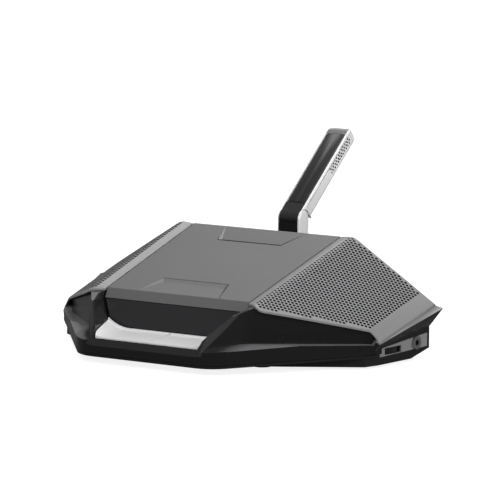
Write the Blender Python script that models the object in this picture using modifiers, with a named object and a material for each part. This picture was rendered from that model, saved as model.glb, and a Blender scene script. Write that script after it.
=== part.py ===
"""Conference delegate unit: a desk unit with two loudspeakers, a microphone on a tilting yoke,
two tray-shaped buttons and, on each side, a headphone socket and a volume thumbwheel.
X is to the right, Y to the back and Z up, in metres."""

import math

import bmesh
import bpy
from mathutils import Matrix, Vector

MM = 0.001

# Clearances, shared thicknesses and counts of steps round a curve
GAP = 0.3 * MM
OVERRUN = 5 * MM
WALL = 2.2 * MM
SHEET = 1.3 * MM
PLATE_THICK = 2.6 * MM
WELD_SHARE = 1 / 30
CURVE_STEPS = 6
CORNER_STEPS = 4
FINE_STEPS = 32
ROUND_STEPS = 24
SMALL_STEPS = 16

# Rear wall, and the top plate with its bent front lip
REAR_Y = 139 * MM
REAR_LIP = 1.1 * MM
PLATE_FRONT_HALF = 52.9 * MM
PLATE_FLARE = 2.7 * MM
PLATE_BACK_HALF = PLATE_FRONT_HALF + PLATE_FLARE
PLATE_FRONT_Y = 36.6 * MM
PLATE_FRONT_Z = 41.6 * MM
PLATE_BACK_Y = REAR_Y - REAR_LIP
PLATE_BACK_Z = 71.1 * MM
LIP_SET_FORWARD = 3.2 * MM
LIP_DROP = 6.1 * MM
LIP_Y = PLATE_FRONT_Y - LIP_SET_FORWARD
LIP_Z = PLATE_FRONT_Z - LIP_DROP
INSET_DEPTH = 1.3 * MM
FRONT_INSET_HALF = 29.8 * MM
FRONT_INSET_BACK_HALF = 24 * MM
FRONT_INSET_LENGTH = 20.5 * MM
REAR_INSET_HALF = 30.5 * MM
REAR_INSET_FRONT_HALF = 23.6 * MM
REAR_INSET_LENGTH = 21 * MM

# Crest beside the plate: the highest line of each wing
CREST_FRONT_WIDTH = 8.1 * MM
CREST_BACK_WIDTH = 9.4 * MM
CREST_FRONT_SET_FORWARD = 6.3 * MM
CREST_FRONT_DROP = 0.4 * MM
CREST_BACK_RISE = 0.9 * MM
CREST_FRONT_X = PLATE_FRONT_HALF + CREST_FRONT_WIDTH
CREST_FRONT_Y = PLATE_FRONT_Y - CREST_FRONT_SET_FORWARD
CREST_FRONT_Z = PLATE_FRONT_Z - CREST_FRONT_DROP
CREST_BACK_X = PLATE_BACK_HALF + CREST_BACK_WIDTH
CREST_BACK_Z = PLATE_BACK_Z + CREST_BACK_RISE

# Wing: its plane face runs out to the bend, and its side face on to the seam
SEAM_FRONT_Y = 82 * MM
BEND_SET_FORWARD = 0.3 * MM
WING_FRONT_WIDTH = 51.7 * MM
WING_BACK_WIDTH = 46 * MM
BEND_FRONT_X = CREST_FRONT_X + WING_FRONT_WIDTH
BEND_FRONT_Y = SEAM_FRONT_Y - BEND_SET_FORWARD
BEND_FRONT_Z = 25.2 * MM
BEND_BACK_X = CREST_BACK_X + WING_BACK_WIDTH
BEND_BACK_Z = 43.2 * MM
SIDE_FRONT_WIDTH = 5.6 * MM
SIDE_FRONT_DROP = 7.8 * MM
SIDE_BACK_WIDTH = 13.2 * MM
SIDE_BACK_DROP = 8.8 * MM
SEAM_FRONT_X = BEND_FRONT_X + SIDE_FRONT_WIDTH
SEAM_FRONT_Z = BEND_FRONT_Z - SIDE_FRONT_DROP
SEAM_BACK_X = BEND_BACK_X + SIDE_BACK_WIDTH
SEAM_BACK_Z = BEND_BACK_Z - SIDE_BACK_DROP

# Shoulder under the seam: it stands out to its tip and falls back to the band's lower edge
TIP_FRONT_WIDTH = 0.3 * MM
TIP_FRONT_DROP = 1.8 * MM
TIP_BACK_WIDTH = 5.3 * MM
TIP_BACK_DROP = 2.8 * MM
BAND_FRONT_SET_IN = 1.4 * MM
BAND_FRONT_DROP = 2.6 * MM
BAND_BACK_SET_IN = 9.1 * MM
BAND_BACK_DROP = 11.5 * MM
TIP_FRONT_X = SEAM_FRONT_X + TIP_FRONT_WIDTH
TIP_FRONT_Z = SEAM_FRONT_Z - TIP_FRONT_DROP
TIP_BACK_X = SEAM_BACK_X + TIP_BACK_WIDTH
TIP_BACK_Z = SEAM_BACK_Z - TIP_BACK_DROP
BAND_FRONT_X = TIP_FRONT_X - BAND_FRONT_SET_IN
BAND_FRONT_Z = TIP_FRONT_Z - BAND_FRONT_DROP
BAND_BACK_X = TIP_BACK_X - BAND_BACK_SET_IN
BAND_BACK_Z = TIP_BACK_Z - BAND_BACK_DROP

# Front bar, seam with the base, and the ledge that runs out along each wing
BAR_Y = -1.4 * MM
BAR_HALF = 38 * MM
BAR_FACET_Z = 11.3 * MM
BAR_FACET_DEPTH = 2.8 * MM
BAR_FACET_HEIGHT = 4.6 * MM
BAR_TOP_Y = BAR_Y + BAR_FACET_DEPTH
BAR_TOP_Z = BAR_FACET_Z + BAR_FACET_HEIGHT
CORNER_RADIUS = 23 * MM
LEDGE_END_WIDTH = 2.2 * MM
LEDGE_END_SET_FORWARD = 4.2 * MM
LEDGE_END_X = BEND_FRONT_X + LEDGE_END_WIDTH
LEDGE_END_Y = SEAM_FRONT_Y - LEDGE_END_SET_FORWARD
LIP_ANGLE = math.radians(50.5)
SEAM_RISE_SHARE = 0.036
HOUSING_SEAM_Z = 6.2 * MM
BASE_BAND = 1.9 * MM
BASE_SET_IN = 0.8 * MM
LEDGE_LIP_Z = 12.8 * MM
LEDGE_INNER_Z = 17.7 * MM
LEDGE_OUTER_Z = 15.2 * MM

# Wall of each wing behind the ledge, and the rounded rim at its outer end
WALL_INNER_WIDTH = 3.8 * MM
WALL_INNER_SET_FORWARD = 11.6 * MM
WALL_OUTER_SET_IN = 0.5 * MM
WALL_OUTER_SET_BACK = 0.3 * MM
WALL_INNER_X = PLATE_FRONT_HALF + WALL_INNER_WIDTH
WALL_INNER_Y = PLATE_FRONT_Y - WALL_INNER_SET_FORWARD
WALL_OUTER_X = BEND_FRONT_X - WALL_OUTER_SET_IN
WALL_OUTER_Y = SEAM_FRONT_Y + WALL_OUTER_SET_BACK
WALL_CORNER_RADIUS = 4 * MM
WALL_LEAN = 2.7 * MM
RIM_WIDTH = 2.4 * MM
RIM_BULGE = 4.6 * MM

# Slanted posts of the U-shaped frame: outer edge, inner ridge and the facet between them
POST_FOOT_WIDTH = 2.5 * MM
POST_FOOT_SET_FORWARD = 0.6 * MM
POST_EDGE_WIDTH = 3.4 * MM
POST_EDGE_SET_BACK = 2.1 * MM
POST_EDGE_RISE = 2.4 * MM
POST_TOP_WIDTH = 4.3 * MM
POST_TOP_SET_FORWARD = 11.5 * MM
POST_TOP_DROP = 2.8 * MM
POST_FOOT_X = BAR_HALF + POST_FOOT_WIDTH
POST_FOOT_Y = BAR_Y - POST_FOOT_SET_FORWARD
POST_EDGE_X = BAR_HALF + POST_EDGE_WIDTH
POST_EDGE_Y = BAR_Y + POST_EDGE_SET_BACK
POST_EDGE_Z = BAR_FACET_Z + POST_EDGE_RISE
POST_TOP_X = PLATE_FRONT_HALF + POST_TOP_WIDTH
POST_TOP_Y = PLATE_FRONT_Y - POST_TOP_SET_FORWARD
POST_TOP_Z = PLATE_FRONT_Z - POST_TOP_DROP
RIDGE_FOOT_SET_IN = 0.5 * MM
RIDGE_FOOT_SET_BACK = 0.5 * MM
RIDGE_FOOT_RISE = 1.9 * MM
RIDGE_TOP_WIDTH = 3.3 * MM
RIDGE_TOP_SET_FORWARD = 11.3 * MM
RIDGE_TOP_DROP = 1.3 * MM
RIDGE_FOOT_X = BAR_HALF - RIDGE_FOOT_SET_IN
RIDGE_FOOT_Y = BAR_TOP_Y + RIDGE_FOOT_SET_BACK
RIDGE_FOOT_Z = BAR_TOP_Z + RIDGE_FOOT_RISE
RIDGE_TOP_X = PLATE_FRONT_HALF + RIDGE_TOP_WIDTH
RIDGE_TOP_Y = PLATE_FRONT_Y - RIDGE_TOP_SET_FORWARD
RIDGE_TOP_Z = PLATE_FRONT_Z - RIDGE_TOP_DROP
FACET_RISE_X = -0.1 * MM
FACET_RISE_Y = 1.9 * MM
FACET_RISE_Z = 4.1 * MM
POST_CUT_SHARE = 1.3
POST_LEAD_SHARE = 0.1

# Finger recess and its dark panel
PANEL_LEAN = 3.9 * MM
PANEL_FOOT_RISE = 3 * MM
PANEL_THICK = 2 * MM
PANEL_FLAT_SET_IN = 7 * MM
PANEL_SIDE_SET_IN = 4.3 * MM
PANEL_SIDE_DROP = 10.5 * MM
PANEL_FOOT_Y = LIP_Y - PANEL_LEAN
PANEL_FOOT_Z = BAR_TOP_Z + PANEL_FOOT_RISE
PANEL_FLAT_HALF = BAR_HALF - PANEL_FLAT_SET_IN
PANEL_SIDE_HALF = PLATE_FRONT_HALF - PANEL_SIDE_SET_IN
PANEL_SIDE_Z = LIP_Z - PANEL_SIDE_DROP

# The two buttons, their pocket, board and switches
BUTTON_FRONT_GAP = 0.4 * MM
BUTTON_BACK_GAP = 0.5 * MM
BUTTON_SIDE_GAP = 2.2 * MM
BUTTON_FRONT_RISE = 0.4 * MM
BUTTON_BACK_DROP = 1.1 * MM
BUTTON_FRONT_Y = BAR_TOP_Y + BUTTON_FRONT_GAP
BUTTON_FRONT_Z = BAR_TOP_Z + BUTTON_FRONT_RISE
BUTTON_BACK_Y = PANEL_FOOT_Y - BUTTON_BACK_GAP
BUTTON_BACK_Z = PANEL_FOOT_Z - BUTTON_BACK_DROP
BUTTON_OUTER_HALF = PANEL_SIDE_HALF - BUTTON_SIDE_GAP
BUTTON_SIDE_SHARE = 0.27
BUTTON_SIDE_WIDTH_SHARE = 0.884
BUTTON_UPTURN = 5.4 * MM
BUTTON_THICK = 2 * MM
BUTTON_RIM = 1 * MM
BUTTON_TRAVEL = 0.9 * MM
POCKET_FLOOR_Z = 9.4 * MM
POCKET_SIDE_GAP = 2 * MM
POCKET_HALF = BAR_HALF + POCKET_SIDE_GAP
SWITCH_SIDE = 6 * MM
SWITCH_X = 20 * MM
SWITCH_CLEARANCE = 0.1 * MM
BOARD_THICK = 1.6 * MM

# Loudspeakers on the slope of the grilles, and the grilles' perforation
SPEAKER_SET_IN = 25.7 * MM
SPEAKER_SET_BACK = 14 * MM
SPEAKER_X = BEND_FRONT_X - SPEAKER_SET_IN
SPEAKER_Y = SEAM_FRONT_Y + SPEAKER_SET_BACK
SPEAKER_RADIUS = 20 * MM
SPEAKER_DEPTH = 13 * MM
SPEAKER_FLANGE = 2 * MM
SPEAKER_WELL_SET_IN = 3 * MM
DUST_CAP_RADIUS = 5 * MM
MAGNET_RADIUS = 9.5 * MM
MAGNET_DEPTH = 6 * MM
HOLE_SIDE = 2.6 * MM
HOLE_PITCH = 4.8 * MM
GRILLE_MARGIN = 2.6 * MM

# Base: rim, set-back tub and the cheeks that carry the ports
CHEEK_SET_BACK = 4 * MM
CHEEK_THICK = 3.6 * MM
TUB_FRONT_Y = 22.8 * MM
TUB_FRONT_SET_IN = 12.9 * MM
TUB_MIDDLE_X = 68.1 * MM
TUB_MIDDLE_Y = 47.6 * MM
TUB_SIDE_FRONT_SET_IN = 2.6 * MM
TUB_SIDE_BACK_SET_IN = 0.4 * MM
TUB_CORNER_SET_IN = 3 * MM
TUB_CORNER_SET_FORWARD = 6.2 * MM
TUB_CHAMFER_LENGTH = 19 * MM
TUB_CHAMFER_RISE = 4.7 * MM
TUB_FRONT_HALF = BAR_HALF - TUB_FRONT_SET_IN
TUB_SIDE_FRONT_X = BAND_FRONT_X - TUB_SIDE_FRONT_SET_IN
TUB_SIDE_BACK_X = BAND_BACK_X - TUB_SIDE_BACK_SET_IN
TUB_CORNER_X = TUB_SIDE_FRONT_X - TUB_CORNER_SET_IN
TUB_CORNER_Y = SEAM_FRONT_Y - TUB_CORNER_SET_FORWARD
CHEEK_FRONT_Y = SEAM_FRONT_Y + CHEEK_SET_BACK
CHEEK_INNER_X = TUB_SIDE_FRONT_X - CHEEK_THICK
TUB_FLOOR_Z = 1.6 * MM
TUB_CHAMFER_Y = REAR_Y - TUB_CHAMFER_LENGTH
TUB_REAR_FLOOR_Z = TUB_FLOOR_Z + TUB_CHAMFER_RISE
TUB_WALL = 3.3 * MM
FLOOR_THICK = 2 * MM

# Feet, screws with their bosses, and the main board on its standoffs
FOOT_RADIUS = 7 * MM
FOOT_RECESS = 0.8 * MM
FOOT_CHAMFER = 0.8 * MM
FOOT_FRONT_X = 52 * MM
FOOT_FRONT_SET_BACK = 4.4 * MM
FOOT_BACK_SET_IN = 32 * MM
FOOT_BACK_SET_FORWARD = 27 * MM
FOOT_FRONT_Y = TUB_MIDDLE_Y + FOOT_FRONT_SET_BACK
FOOT_BACK_X = TUB_SIDE_BACK_X - FOOT_BACK_SET_IN
FOOT_BACK_Y = REAR_Y - FOOT_BACK_SET_FORWARD
FOOT_PLACES = ((FOOT_FRONT_X, FOOT_FRONT_Y), (FOOT_BACK_X, FOOT_BACK_Y))
SCREW_RADIUS = 1.5 * MM
SCREW_HEAD_RADIUS = 2.8 * MM
SCREW_HEAD = 1.6 * MM
SCREW_LENGTH = 12 * MM
BOSS_RADIUS = 3.6 * MM
BOSS_HEIGHT = 4.5 * MM
BOSS_SINK = 1 * MM
SCREW_FRONT_X = 60 * MM
SCREW_FRONT_SET_BACK = 10.4 * MM
SCREW_BACK_SET_IN = 46 * MM
SCREW_BACK_SET_FORWARD = 24 * MM
SCREW_FRONT_Y = TUB_MIDDLE_Y + SCREW_FRONT_SET_BACK
SCREW_BACK_X = TUB_SIDE_BACK_X - SCREW_BACK_SET_IN
SCREW_BACK_Y = REAR_Y - SCREW_BACK_SET_FORWARD
SCREW_PLACES = ((SCREW_FRONT_X, SCREW_FRONT_Y), (SCREW_BACK_X, SCREW_BACK_Y))
BOARD_HALF = 56 * MM
BOARD_SET_BACK = 41.2 * MM
BOARD_SET_FORWARD = 28 * MM
BOARD_FRONT_Y = TUB_FRONT_Y + BOARD_SET_BACK
BOARD_BACK_Y = REAR_Y - BOARD_SET_FORWARD
STANDOFF_SET_IN = 10 * MM
STANDOFF_END = 8 * MM
STANDOFF_X = BOARD_HALF - STANDOFF_SET_IN

# Port panel, headphone socket and thumbwheel on the side cheek, measured along it from its front
PORT_THICK = 1.2 * MM
PORT_START = 2 * MM
PORT_SET_FORWARD = 2 * MM
PORT_END = REAR_Y - CHEEK_FRONT_Y - PORT_SET_FORWARD
PORT_LOW_FRONT_Z = 6.4 * MM
PORT_LOW_BACK_Z = 7.6 * MM
PORT_TOP_FRONT_DROP = 1.4 * MM
PORT_TOP_BACK_DROP = 4.1 * MM
PORT_TOP_FRONT_Z = BAND_FRONT_Z - PORT_TOP_FRONT_DROP
PORT_TOP_BACK_Z = BAND_BACK_Z - PORT_TOP_BACK_DROP
JACK_SET_FORWARD = 12 * MM
JACK_RISE = 3.6 * MM
JACK_ALONG = PORT_END - JACK_SET_FORWARD
JACK_Z = PORT_LOW_BACK_Z + JACK_RISE
JACK_BARREL = 3.4 * MM
JACK_BORE = 1.8 * MM
JACK_LENGTH = 9 * MM
JACK_NUT = 4.2 * MM
JACK_NUT_HEIGHT = 1.2 * MM
WHEEL_ALONG = 15.5 * MM
WHEEL_RISE = 2.9 * MM
WHEEL_Z = PORT_LOW_FRONT_Z + WHEEL_RISE
WHEEL_RADIUS = 9.5 * MM
WHEEL_BORE = 2.4 * MM
WHEEL_THICK = 3.6 * MM
WHEEL_PROUD = 1 * MM
WHEEL_RIBS = 24
WHEEL_RIB_DEPTH = 0.5 * MM
WINDOW_LENGTH = 17 * MM
POT_SIDE = 9 * MM
POT_HEIGHT = 2.6 * MM
SHAFT_PROUD = 1.2 * MM

# Cable sockets in the rear wall
NETWORK_X = 34 * MM
NETWORK_Z = 20 * MM
NETWORK_WIDTH = 15.5 * MM
NETWORK_HEIGHT = 13.5 * MM
NETWORK_DEPTH = 16 * MM
NETWORK_PORT_WIDTH = 11.8 * MM
NETWORK_PORT_HEIGHT = 8.4 * MM
NETWORK_PORT_DEPTH = 12 * MM

# Microphone, leaning from its hinge, and the yoke that plugs into the rear wall
HINGE_SET_BACK = 30.5 * MM
HINGE_RISE = 3.7 * MM
HINGE_Y = REAR_Y + HINGE_SET_BACK
HINGE_Z = PLATE_BACK_Z + HINGE_RISE
MIC_LEAN = math.radians(50.4)
MIC_HALF = 8.5 * MM
MIC_RAIL = 1.4 * MM
MIC_INNER = MIC_HALF - MIC_RAIL
MIC_DEEP = 12.3 * MM
MIC_START = 7 * MM
MIC_LENGTH = 80 * MM
MIC_BACK_WALL = 2.4 * MM
MIC_COVER = 2.2 * MM
MIC_CROWN = 0.6 * MM
MIC_CAP = 3.6 * MM
CAP_SHARE = 0.8
KNUCKLE_RADIUS = 6.1 * MM
NECK_LENGTH = 13 * MM
PIN_RADIUS = 1.6 * MM
PIN_CLEARANCE = 0.1 * MM
POST_LENGTH = 31 * MM
POST_DEEP = 12 * MM
FORK_CLEARANCE = 0.9 * MM
FOOT_COVER_DROP = 1.8 * MM
ARM_HEIGHT = 12.4 * MM
TONGUE_HALF = 6.4 * MM
TONGUE_HEIGHT = 7.2 * MM
TONGUE_LENGTH = 15 * MM
SOCKET_HALF = 10 * MM
SOCKET_HEIGHT = 14 * MM
SOCKET_DEPTH = 19 * MM
CAPSULE_RADIUS = 4.6 * MM
CAPSULE_DEPTH = 4 * MM
CAPSULE_SPACING = 16 * MM
CAPSULE_START_SHARE = 0.6
TONGUE_Z = HINGE_Z - POST_LENGTH + ARM_HEIGHT / 2

for old in list(bpy.data.objects):
    bpy.data.objects.remove(old)


def new_collection(name):
    group = bpy.data.collections.new(name)
    bpy.context.scene.collection.children.link(group)
    return group


parts = new_collection("conference_delegate_unit")
cutters = new_collection("cutters")
root = bpy.data.objects.new("unit_frame", None)
parts.objects.link(root)


def material(name, colour, roughness, metallic=0.0):
    """A plain surface with one colour."""
    made = bpy.data.materials.new(name)
    made.use_nodes = True
    shader = made.node_tree.nodes["Principled BSDF"]
    shader.inputs["Base Color"].default_value = (*colour, 1.0)
    shader.inputs["Roughness"].default_value = roughness
    shader.inputs["Metallic"].default_value = metallic
    return made


DARK = material("dark_housing_plastic", (0.012, 0.012, 0.013), 0.35)
GREY = material("grey_lacquer", (0.21, 0.21, 0.22), 0.45)
GRILLE = material("grille_lacquer", (0.25, 0.25, 0.26), 0.4, 0.4)
GLOSS = material("dark_gloss_panel", (0.02, 0.02, 0.022), 0.08)
LIGHT = material("light_button_plastic", (0.8, 0.8, 0.82), 0.3)
SILVER = material("silver_lacquer", (0.62, 0.62, 0.64), 0.3, 0.6)
STEEL = material("steel", (0.55, 0.55, 0.56), 0.3, 1.0)
RUBBER = material("black_rubber", (0.015, 0.015, 0.015), 0.8)
BOARD = material("green_board", (0.02, 0.12, 0.05), 0.5)
CONE = material("black_paper_cone", (0.02, 0.02, 0.02), 0.9)


def flat_point(outline_point):
    """A point of an outline as a curve's control point."""
    return (outline_point[0], outline_point[1], 0.0, 1.0)


def add_object(name, mesh, look=None):
    """A named sub-part, or a cutter where it has no look."""
    made = bpy.data.objects.new(name, mesh)
    made.parent = root
    if look:
        parts.objects.link(made)
        mesh.materials.clear()
        mesh.materials.append(look)
    else:
        cutters.objects.link(made)
        made.hide_render = True
        made.display_type = "WIRE"
    return made


def mesh_from(shape, name):
    """The bmesh as a mesh with its faces pointing out."""
    bmesh.ops.recalc_face_normals(shape, faces=shape.faces)
    if shape.calc_volume(signed=True) < 0:
        bmesh.ops.reverse_faces(shape, faces=shape.faces)
    mesh = bpy.data.meshes.new(name)
    shape.to_mesh(mesh)
    shape.free()
    return mesh


def loft(name, rings, look=None):
    """A closed body through rings of as many points each."""
    shape = bmesh.new()
    rows = [[shape.verts.new(point) for point in ring] for ring in rings]
    count = len(rings[0])
    for lower, upper in zip(rows, rows[1:]):
        for i in range(count):
            j = (i + 1) % count
            shape.faces.new((lower[i], lower[j], upper[j], upper[i]))
    shape.faces.new(rows[0])
    shape.faces.new(rows[-1])
    bmesh.ops.triangulate(shape, faces=shape.faces)
    return add_object(name, mesh_from(shape, name), look)


def extruded(name, outline, low, high, look=None):
    """A flat outline in plan, given its thickness between two heights."""
    curve = bpy.data.curves.new(name, "CURVE")
    curve.dimensions = "2D"
    curve.fill_mode = "BOTH"
    curve.extrude = (high - low) / 2
    spline = curve.splines.new("POLY")
    spline.points.add(len(outline) - 1)
    for control, outline_point in zip(spline.points, outline):
        control.co = flat_point(outline_point)
    spline.use_cyclic_u = True
    drawn = bpy.data.objects.new(name, curve)
    bpy.context.scene.collection.objects.link(drawn)
    evaluated = drawn.evaluated_get(bpy.context.evaluated_depsgraph_get())
    mesh = bpy.data.meshes.new_from_object(evaluated)
    bpy.data.objects.remove(drawn)
    shape = bmesh.new()
    shape.from_mesh(mesh)
    bmesh.ops.remove_doubles(shape, verts=shape.verts, dist=GAP * WELD_SHARE)
    bmesh.ops.translate(shape, verts=shape.verts, vec=(0, 0, (low + high) / 2))
    return add_object(name, mesh_from(shape, name), look)


def box(name, low, high, look=None):
    """A box between two opposite corners."""
    shape = bmesh.new()
    bmesh.ops.create_cube(shape, size=1)
    size = [b - a for a, b in zip(low, high)]
    middle = [(a + b) / 2 for a, b in zip(low, high)]
    bmesh.ops.scale(shape, verts=shape.verts, vec=size)
    bmesh.ops.translate(shape, verts=shape.verts, vec=middle)
    return add_object(name, mesh_from(shape, name), look)


def framed_box(name, corner, along, across, out, look=None):
    """A box that starts at a corner and runs along three edge vectors."""
    shape = bmesh.new()
    bmesh.ops.create_cube(shape, size=1)
    columns = Matrix((along, across, out)).transposed().to_4x4()
    centre = corner + (along + across + out) / 2
    bmesh.ops.transform(shape, matrix=Matrix.Translation(centre) @ columns, verts=shape.verts)
    return add_object(name, mesh_from(shape, name), look)


def turned(name, profile, steps, look=None):
    """A body turned round Z from a profile of radius and height, top to bottom."""
    mesh = bpy.data.meshes.new(name)
    shape = bmesh.new()
    row = [shape.verts.new((radius, 0, height)) for radius, height in profile]
    for upper, lower in zip(row, row[1:]):
        shape.edges.new((upper, lower))
    shape.to_mesh(mesh)
    shape.free()
    made = add_object(name, mesh, look)
    screw = made.modifiers.new("turn", "SCREW")
    screw.steps = steps
    screw.render_steps = steps
    screw.use_merge_vertices = True
    screw.merge_threshold = GAP * WELD_SHARE
    screw.use_smooth_shade = True
    return made


def place(piece, centre, direction):
    """Stands a turned body on a point, with its Z along a direction."""
    turn = Vector(direction).to_track_quat("Z", "Y")
    piece.location = centre
    piece.rotation_mode = "QUATERNION"
    piece.rotation_quaternion = turn
    return piece


def cut(piece, tool):
    step = piece.modifiers.new("cut " + tool.name, "BOOLEAN")
    step.operation = "DIFFERENCE"
    step.object = tool


def join(piece, tool):
    step = piece.modifiers.new("join " + tool.name, "BOOLEAN")
    step.operation = "UNION"
    step.object = tool


def keep_inside(piece, tool):
    step = piece.modifiers.new("trim to " + tool.name, "BOOLEAN")
    step.operation = "INTERSECT"
    step.object = tool


def mirror(piece):
    """Makes the right half symmetric about the middle plane."""
    step = piece.modifiers.new("mirror", "MIRROR")
    step.use_bisect_axis[0] = True
    step.use_clip = True
    step.merge_threshold = GAP * WELD_SHARE


def line_at(front, back, depth):
    """The point of a straight line through two points where it reaches a depth."""
    share = (depth - front[1]) / (back[1] - front[1])
    return Vector(front).lerp(Vector(back), share)


def arc(centre_x, centre_y, radius, start, end, steps):
    """Points of a circular arc in plan."""
    turns = [start + (end - start) * i / steps for i in range(steps + 1)]
    return [(centre_x + radius * math.cos(a), centre_y + radius * math.sin(a)) for a in turns]


def mirrored_copy(piece, name):
    """The left twin of a right-hand piece, with its own mesh and its origin mirrored too."""
    evaluated = piece.evaluated_get(bpy.context.evaluated_depsgraph_get())
    mesh = bpy.data.meshes.new_from_object(evaluated)
    mesh.transform(piece.matrix_basis.to_3x3().to_4x4())
    mesh.transform(Matrix.Scale(-1, 4, (1, 0, 0)))
    mesh.flip_normals()
    twin = add_object(name, mesh, piece.data.materials[0])
    twin.location = (-piece.location.x, piece.location.y, piece.location.z)
    return twin


# Straight lines of the body, from the front of a wing to the rear wall
PLATE_EDGE = ((PLATE_FRONT_HALF, PLATE_FRONT_Y, PLATE_FRONT_Z), (PLATE_BACK_HALF, PLATE_BACK_Y,
                                                                 PLATE_BACK_Z))
CREST = ((CREST_FRONT_X, CREST_FRONT_Y, CREST_FRONT_Z), (CREST_BACK_X, PLATE_BACK_Y, CREST_BACK_Z))
BEND = ((BEND_FRONT_X, BEND_FRONT_Y, BEND_FRONT_Z), (BEND_BACK_X, PLATE_BACK_Y, BEND_BACK_Z))
SEAM = ((SEAM_FRONT_X, SEAM_FRONT_Y, SEAM_FRONT_Z), (SEAM_BACK_X, PLATE_BACK_Y, SEAM_BACK_Z))
TIP = ((TIP_FRONT_X, SEAM_FRONT_Y, TIP_FRONT_Z), (TIP_BACK_X, PLATE_BACK_Y, TIP_BACK_Z))
BAND = ((BAND_FRONT_X, SEAM_FRONT_Y, BAND_FRONT_Z), (BAND_BACK_X, PLATE_BACK_Y, BAND_BACK_Z))


def moved_in(line, inset):
    return tuple((x - inset, y, z) for x, y, z in line)


def skin_points(depth):
    """Plate edge, crest, bend and seam at one depth: the line of the skin over a wing."""
    points = [line_at(*line, depth) for line in (PLATE_EDGE, CREST, BEND, SEAM)]
    if depth < SEAM_FRONT_Y:
        points[3] = points[2] + Vector(SEAM[0]) - Vector(BEND[0])
    return points


def section(depth, drop, inset, floor):
    """Half of the body's cross-section at one depth, with its top lowered and its side moved in."""
    down = Vector((0, 0, drop))
    aside = Vector((inset, 0, 0))
    skin = [point - down for point in skin_points(depth)]
    tops = skin[:2]
    sides = [skin[2], skin[3] - aside]
    lows = [line_at(*moved_in(line, inset), depth) for line in (TIP, BAND)]
    if inset > 0:
        lows[1].z += inset / 2
        lows[0] = (sides[1] + lows[1]) / 2
    if depth < SEAM_FRONT_Y:
        lows[0].z = sides[1].z - OVERRUN
        lows[1].z = sides[1].z - OVERRUN * 2
    middle = Vector((-OVERRUN, depth, tops[0].z))
    foot = Vector((lows[1].x, depth, floor))
    middle_foot = Vector((-OVERRUN, depth, floor))
    return [middle, *tops, *sides, *lows, foot, middle_foot]


def body_volume(name, drop, inset, front, back, floor, look=None):
    depths = (front, SEAM_FRONT_Y, back)
    return loft(name, [section(depth, drop, inset, floor) for depth in depths], look)


def front_outline(inset=0.0):
    """Half of the outline in plan: bar, corner arc, slanted wing edge and side."""
    bar_y = BAR_Y + inset
    radius = CORNER_RADIUS - inset
    turned_by = LIP_ANGLE
    corner = arc(BAR_HALF, bar_y + radius, radius, -math.pi / 2, -math.pi / 2 + turned_by, CURVE_STEPS)
    end_x = LEDGE_END_X - inset * math.sin(LIP_ANGLE)
    end_y = LEDGE_END_Y + inset * math.cos(LIP_ANGLE)
    side_x = TIP_BACK_X + OVERRUN - inset
    return [(-OVERRUN, bar_y), *corner, (end_x, end_y), (side_x, end_y + (side_x - end_x)),
            (side_x, REAR_Y - inset), (-OVERRUN, REAR_Y - inset)]


def seam_slab(name, lift_low, lift_high):
    """A slab whose two faces follow the gently rising seam."""
    front_y = BAR_Y - OVERRUN
    back_y = REAR_Y + OVERRUN
    wide = TIP_BACK_X + OVERRUN
    rings = []
    for lift in (lift_low, lift_high):
        front_z = lift + SEAM_RISE_SHARE * front_y
        back_z = lift + SEAM_RISE_SHARE * back_y
        rings.append([(-OVERRUN * 2, front_y, front_z), (wide, front_y, front_z),
                      (wide, back_y, back_z), (-OVERRUN * 2, back_y, back_z)])
    return loft(name, rings)


WALL_RUN = Vector((WALL_OUTER_X - WALL_INNER_X, WALL_OUTER_Y - WALL_INNER_Y, 0)).normalized()
WALL_OUT = Vector((WALL_RUN.y, -WALL_RUN.x, 0))
POST_RUN = Vector((WALL_INNER_X - POST_FOOT_X, WALL_INNER_Y - POST_FOOT_Y, 0)).normalized()


def rounded_corner(before, corner, after, radius, steps):
    """Points that round a corner in plan by cutting back along both sides."""
    back = (Vector(before) - Vector(corner)).normalized() * radius
    forth = (Vector(after) - Vector(corner)).normalized() * radius
    start = Vector(corner) + back
    end = Vector(corner) + forth
    shares = [i / steps for i in range(steps + 1)]
    return [start.lerp(Vector(corner), s).lerp(Vector(corner).lerp(end, s), s) for s in shares]


def scoop_ring(height_share, outer_shift, heights):
    """One plan ring of the space in front of a wing's wall."""
    lean = WALL_OUT * WALL_LEAN * height_share
    start = Vector((POST_FOOT_X, POST_FOOT_Y, 0)) - POST_RUN * OVERRUN * 2
    corner = Vector((WALL_INNER_X, WALL_INNER_Y, 0)) + lean.dot(WALL_OUT) * POST_RUN
    end = Vector((WALL_OUTER_X, WALL_OUTER_Y, 0)) + lean + WALL_RUN * outer_shift
    rounded = rounded_corner(start, corner, end, WALL_CORNER_RADIUS, CORNER_STEPS)
    out = end + WALL_OUT * CORNER_RADIUS
    front = start + WALL_OUT * CORNER_RADIUS
    ring = [start, *rounded, end, out, front]
    return [Vector((p.x, p.y, z)) for p, z in zip(ring, heights(ring))]


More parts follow.
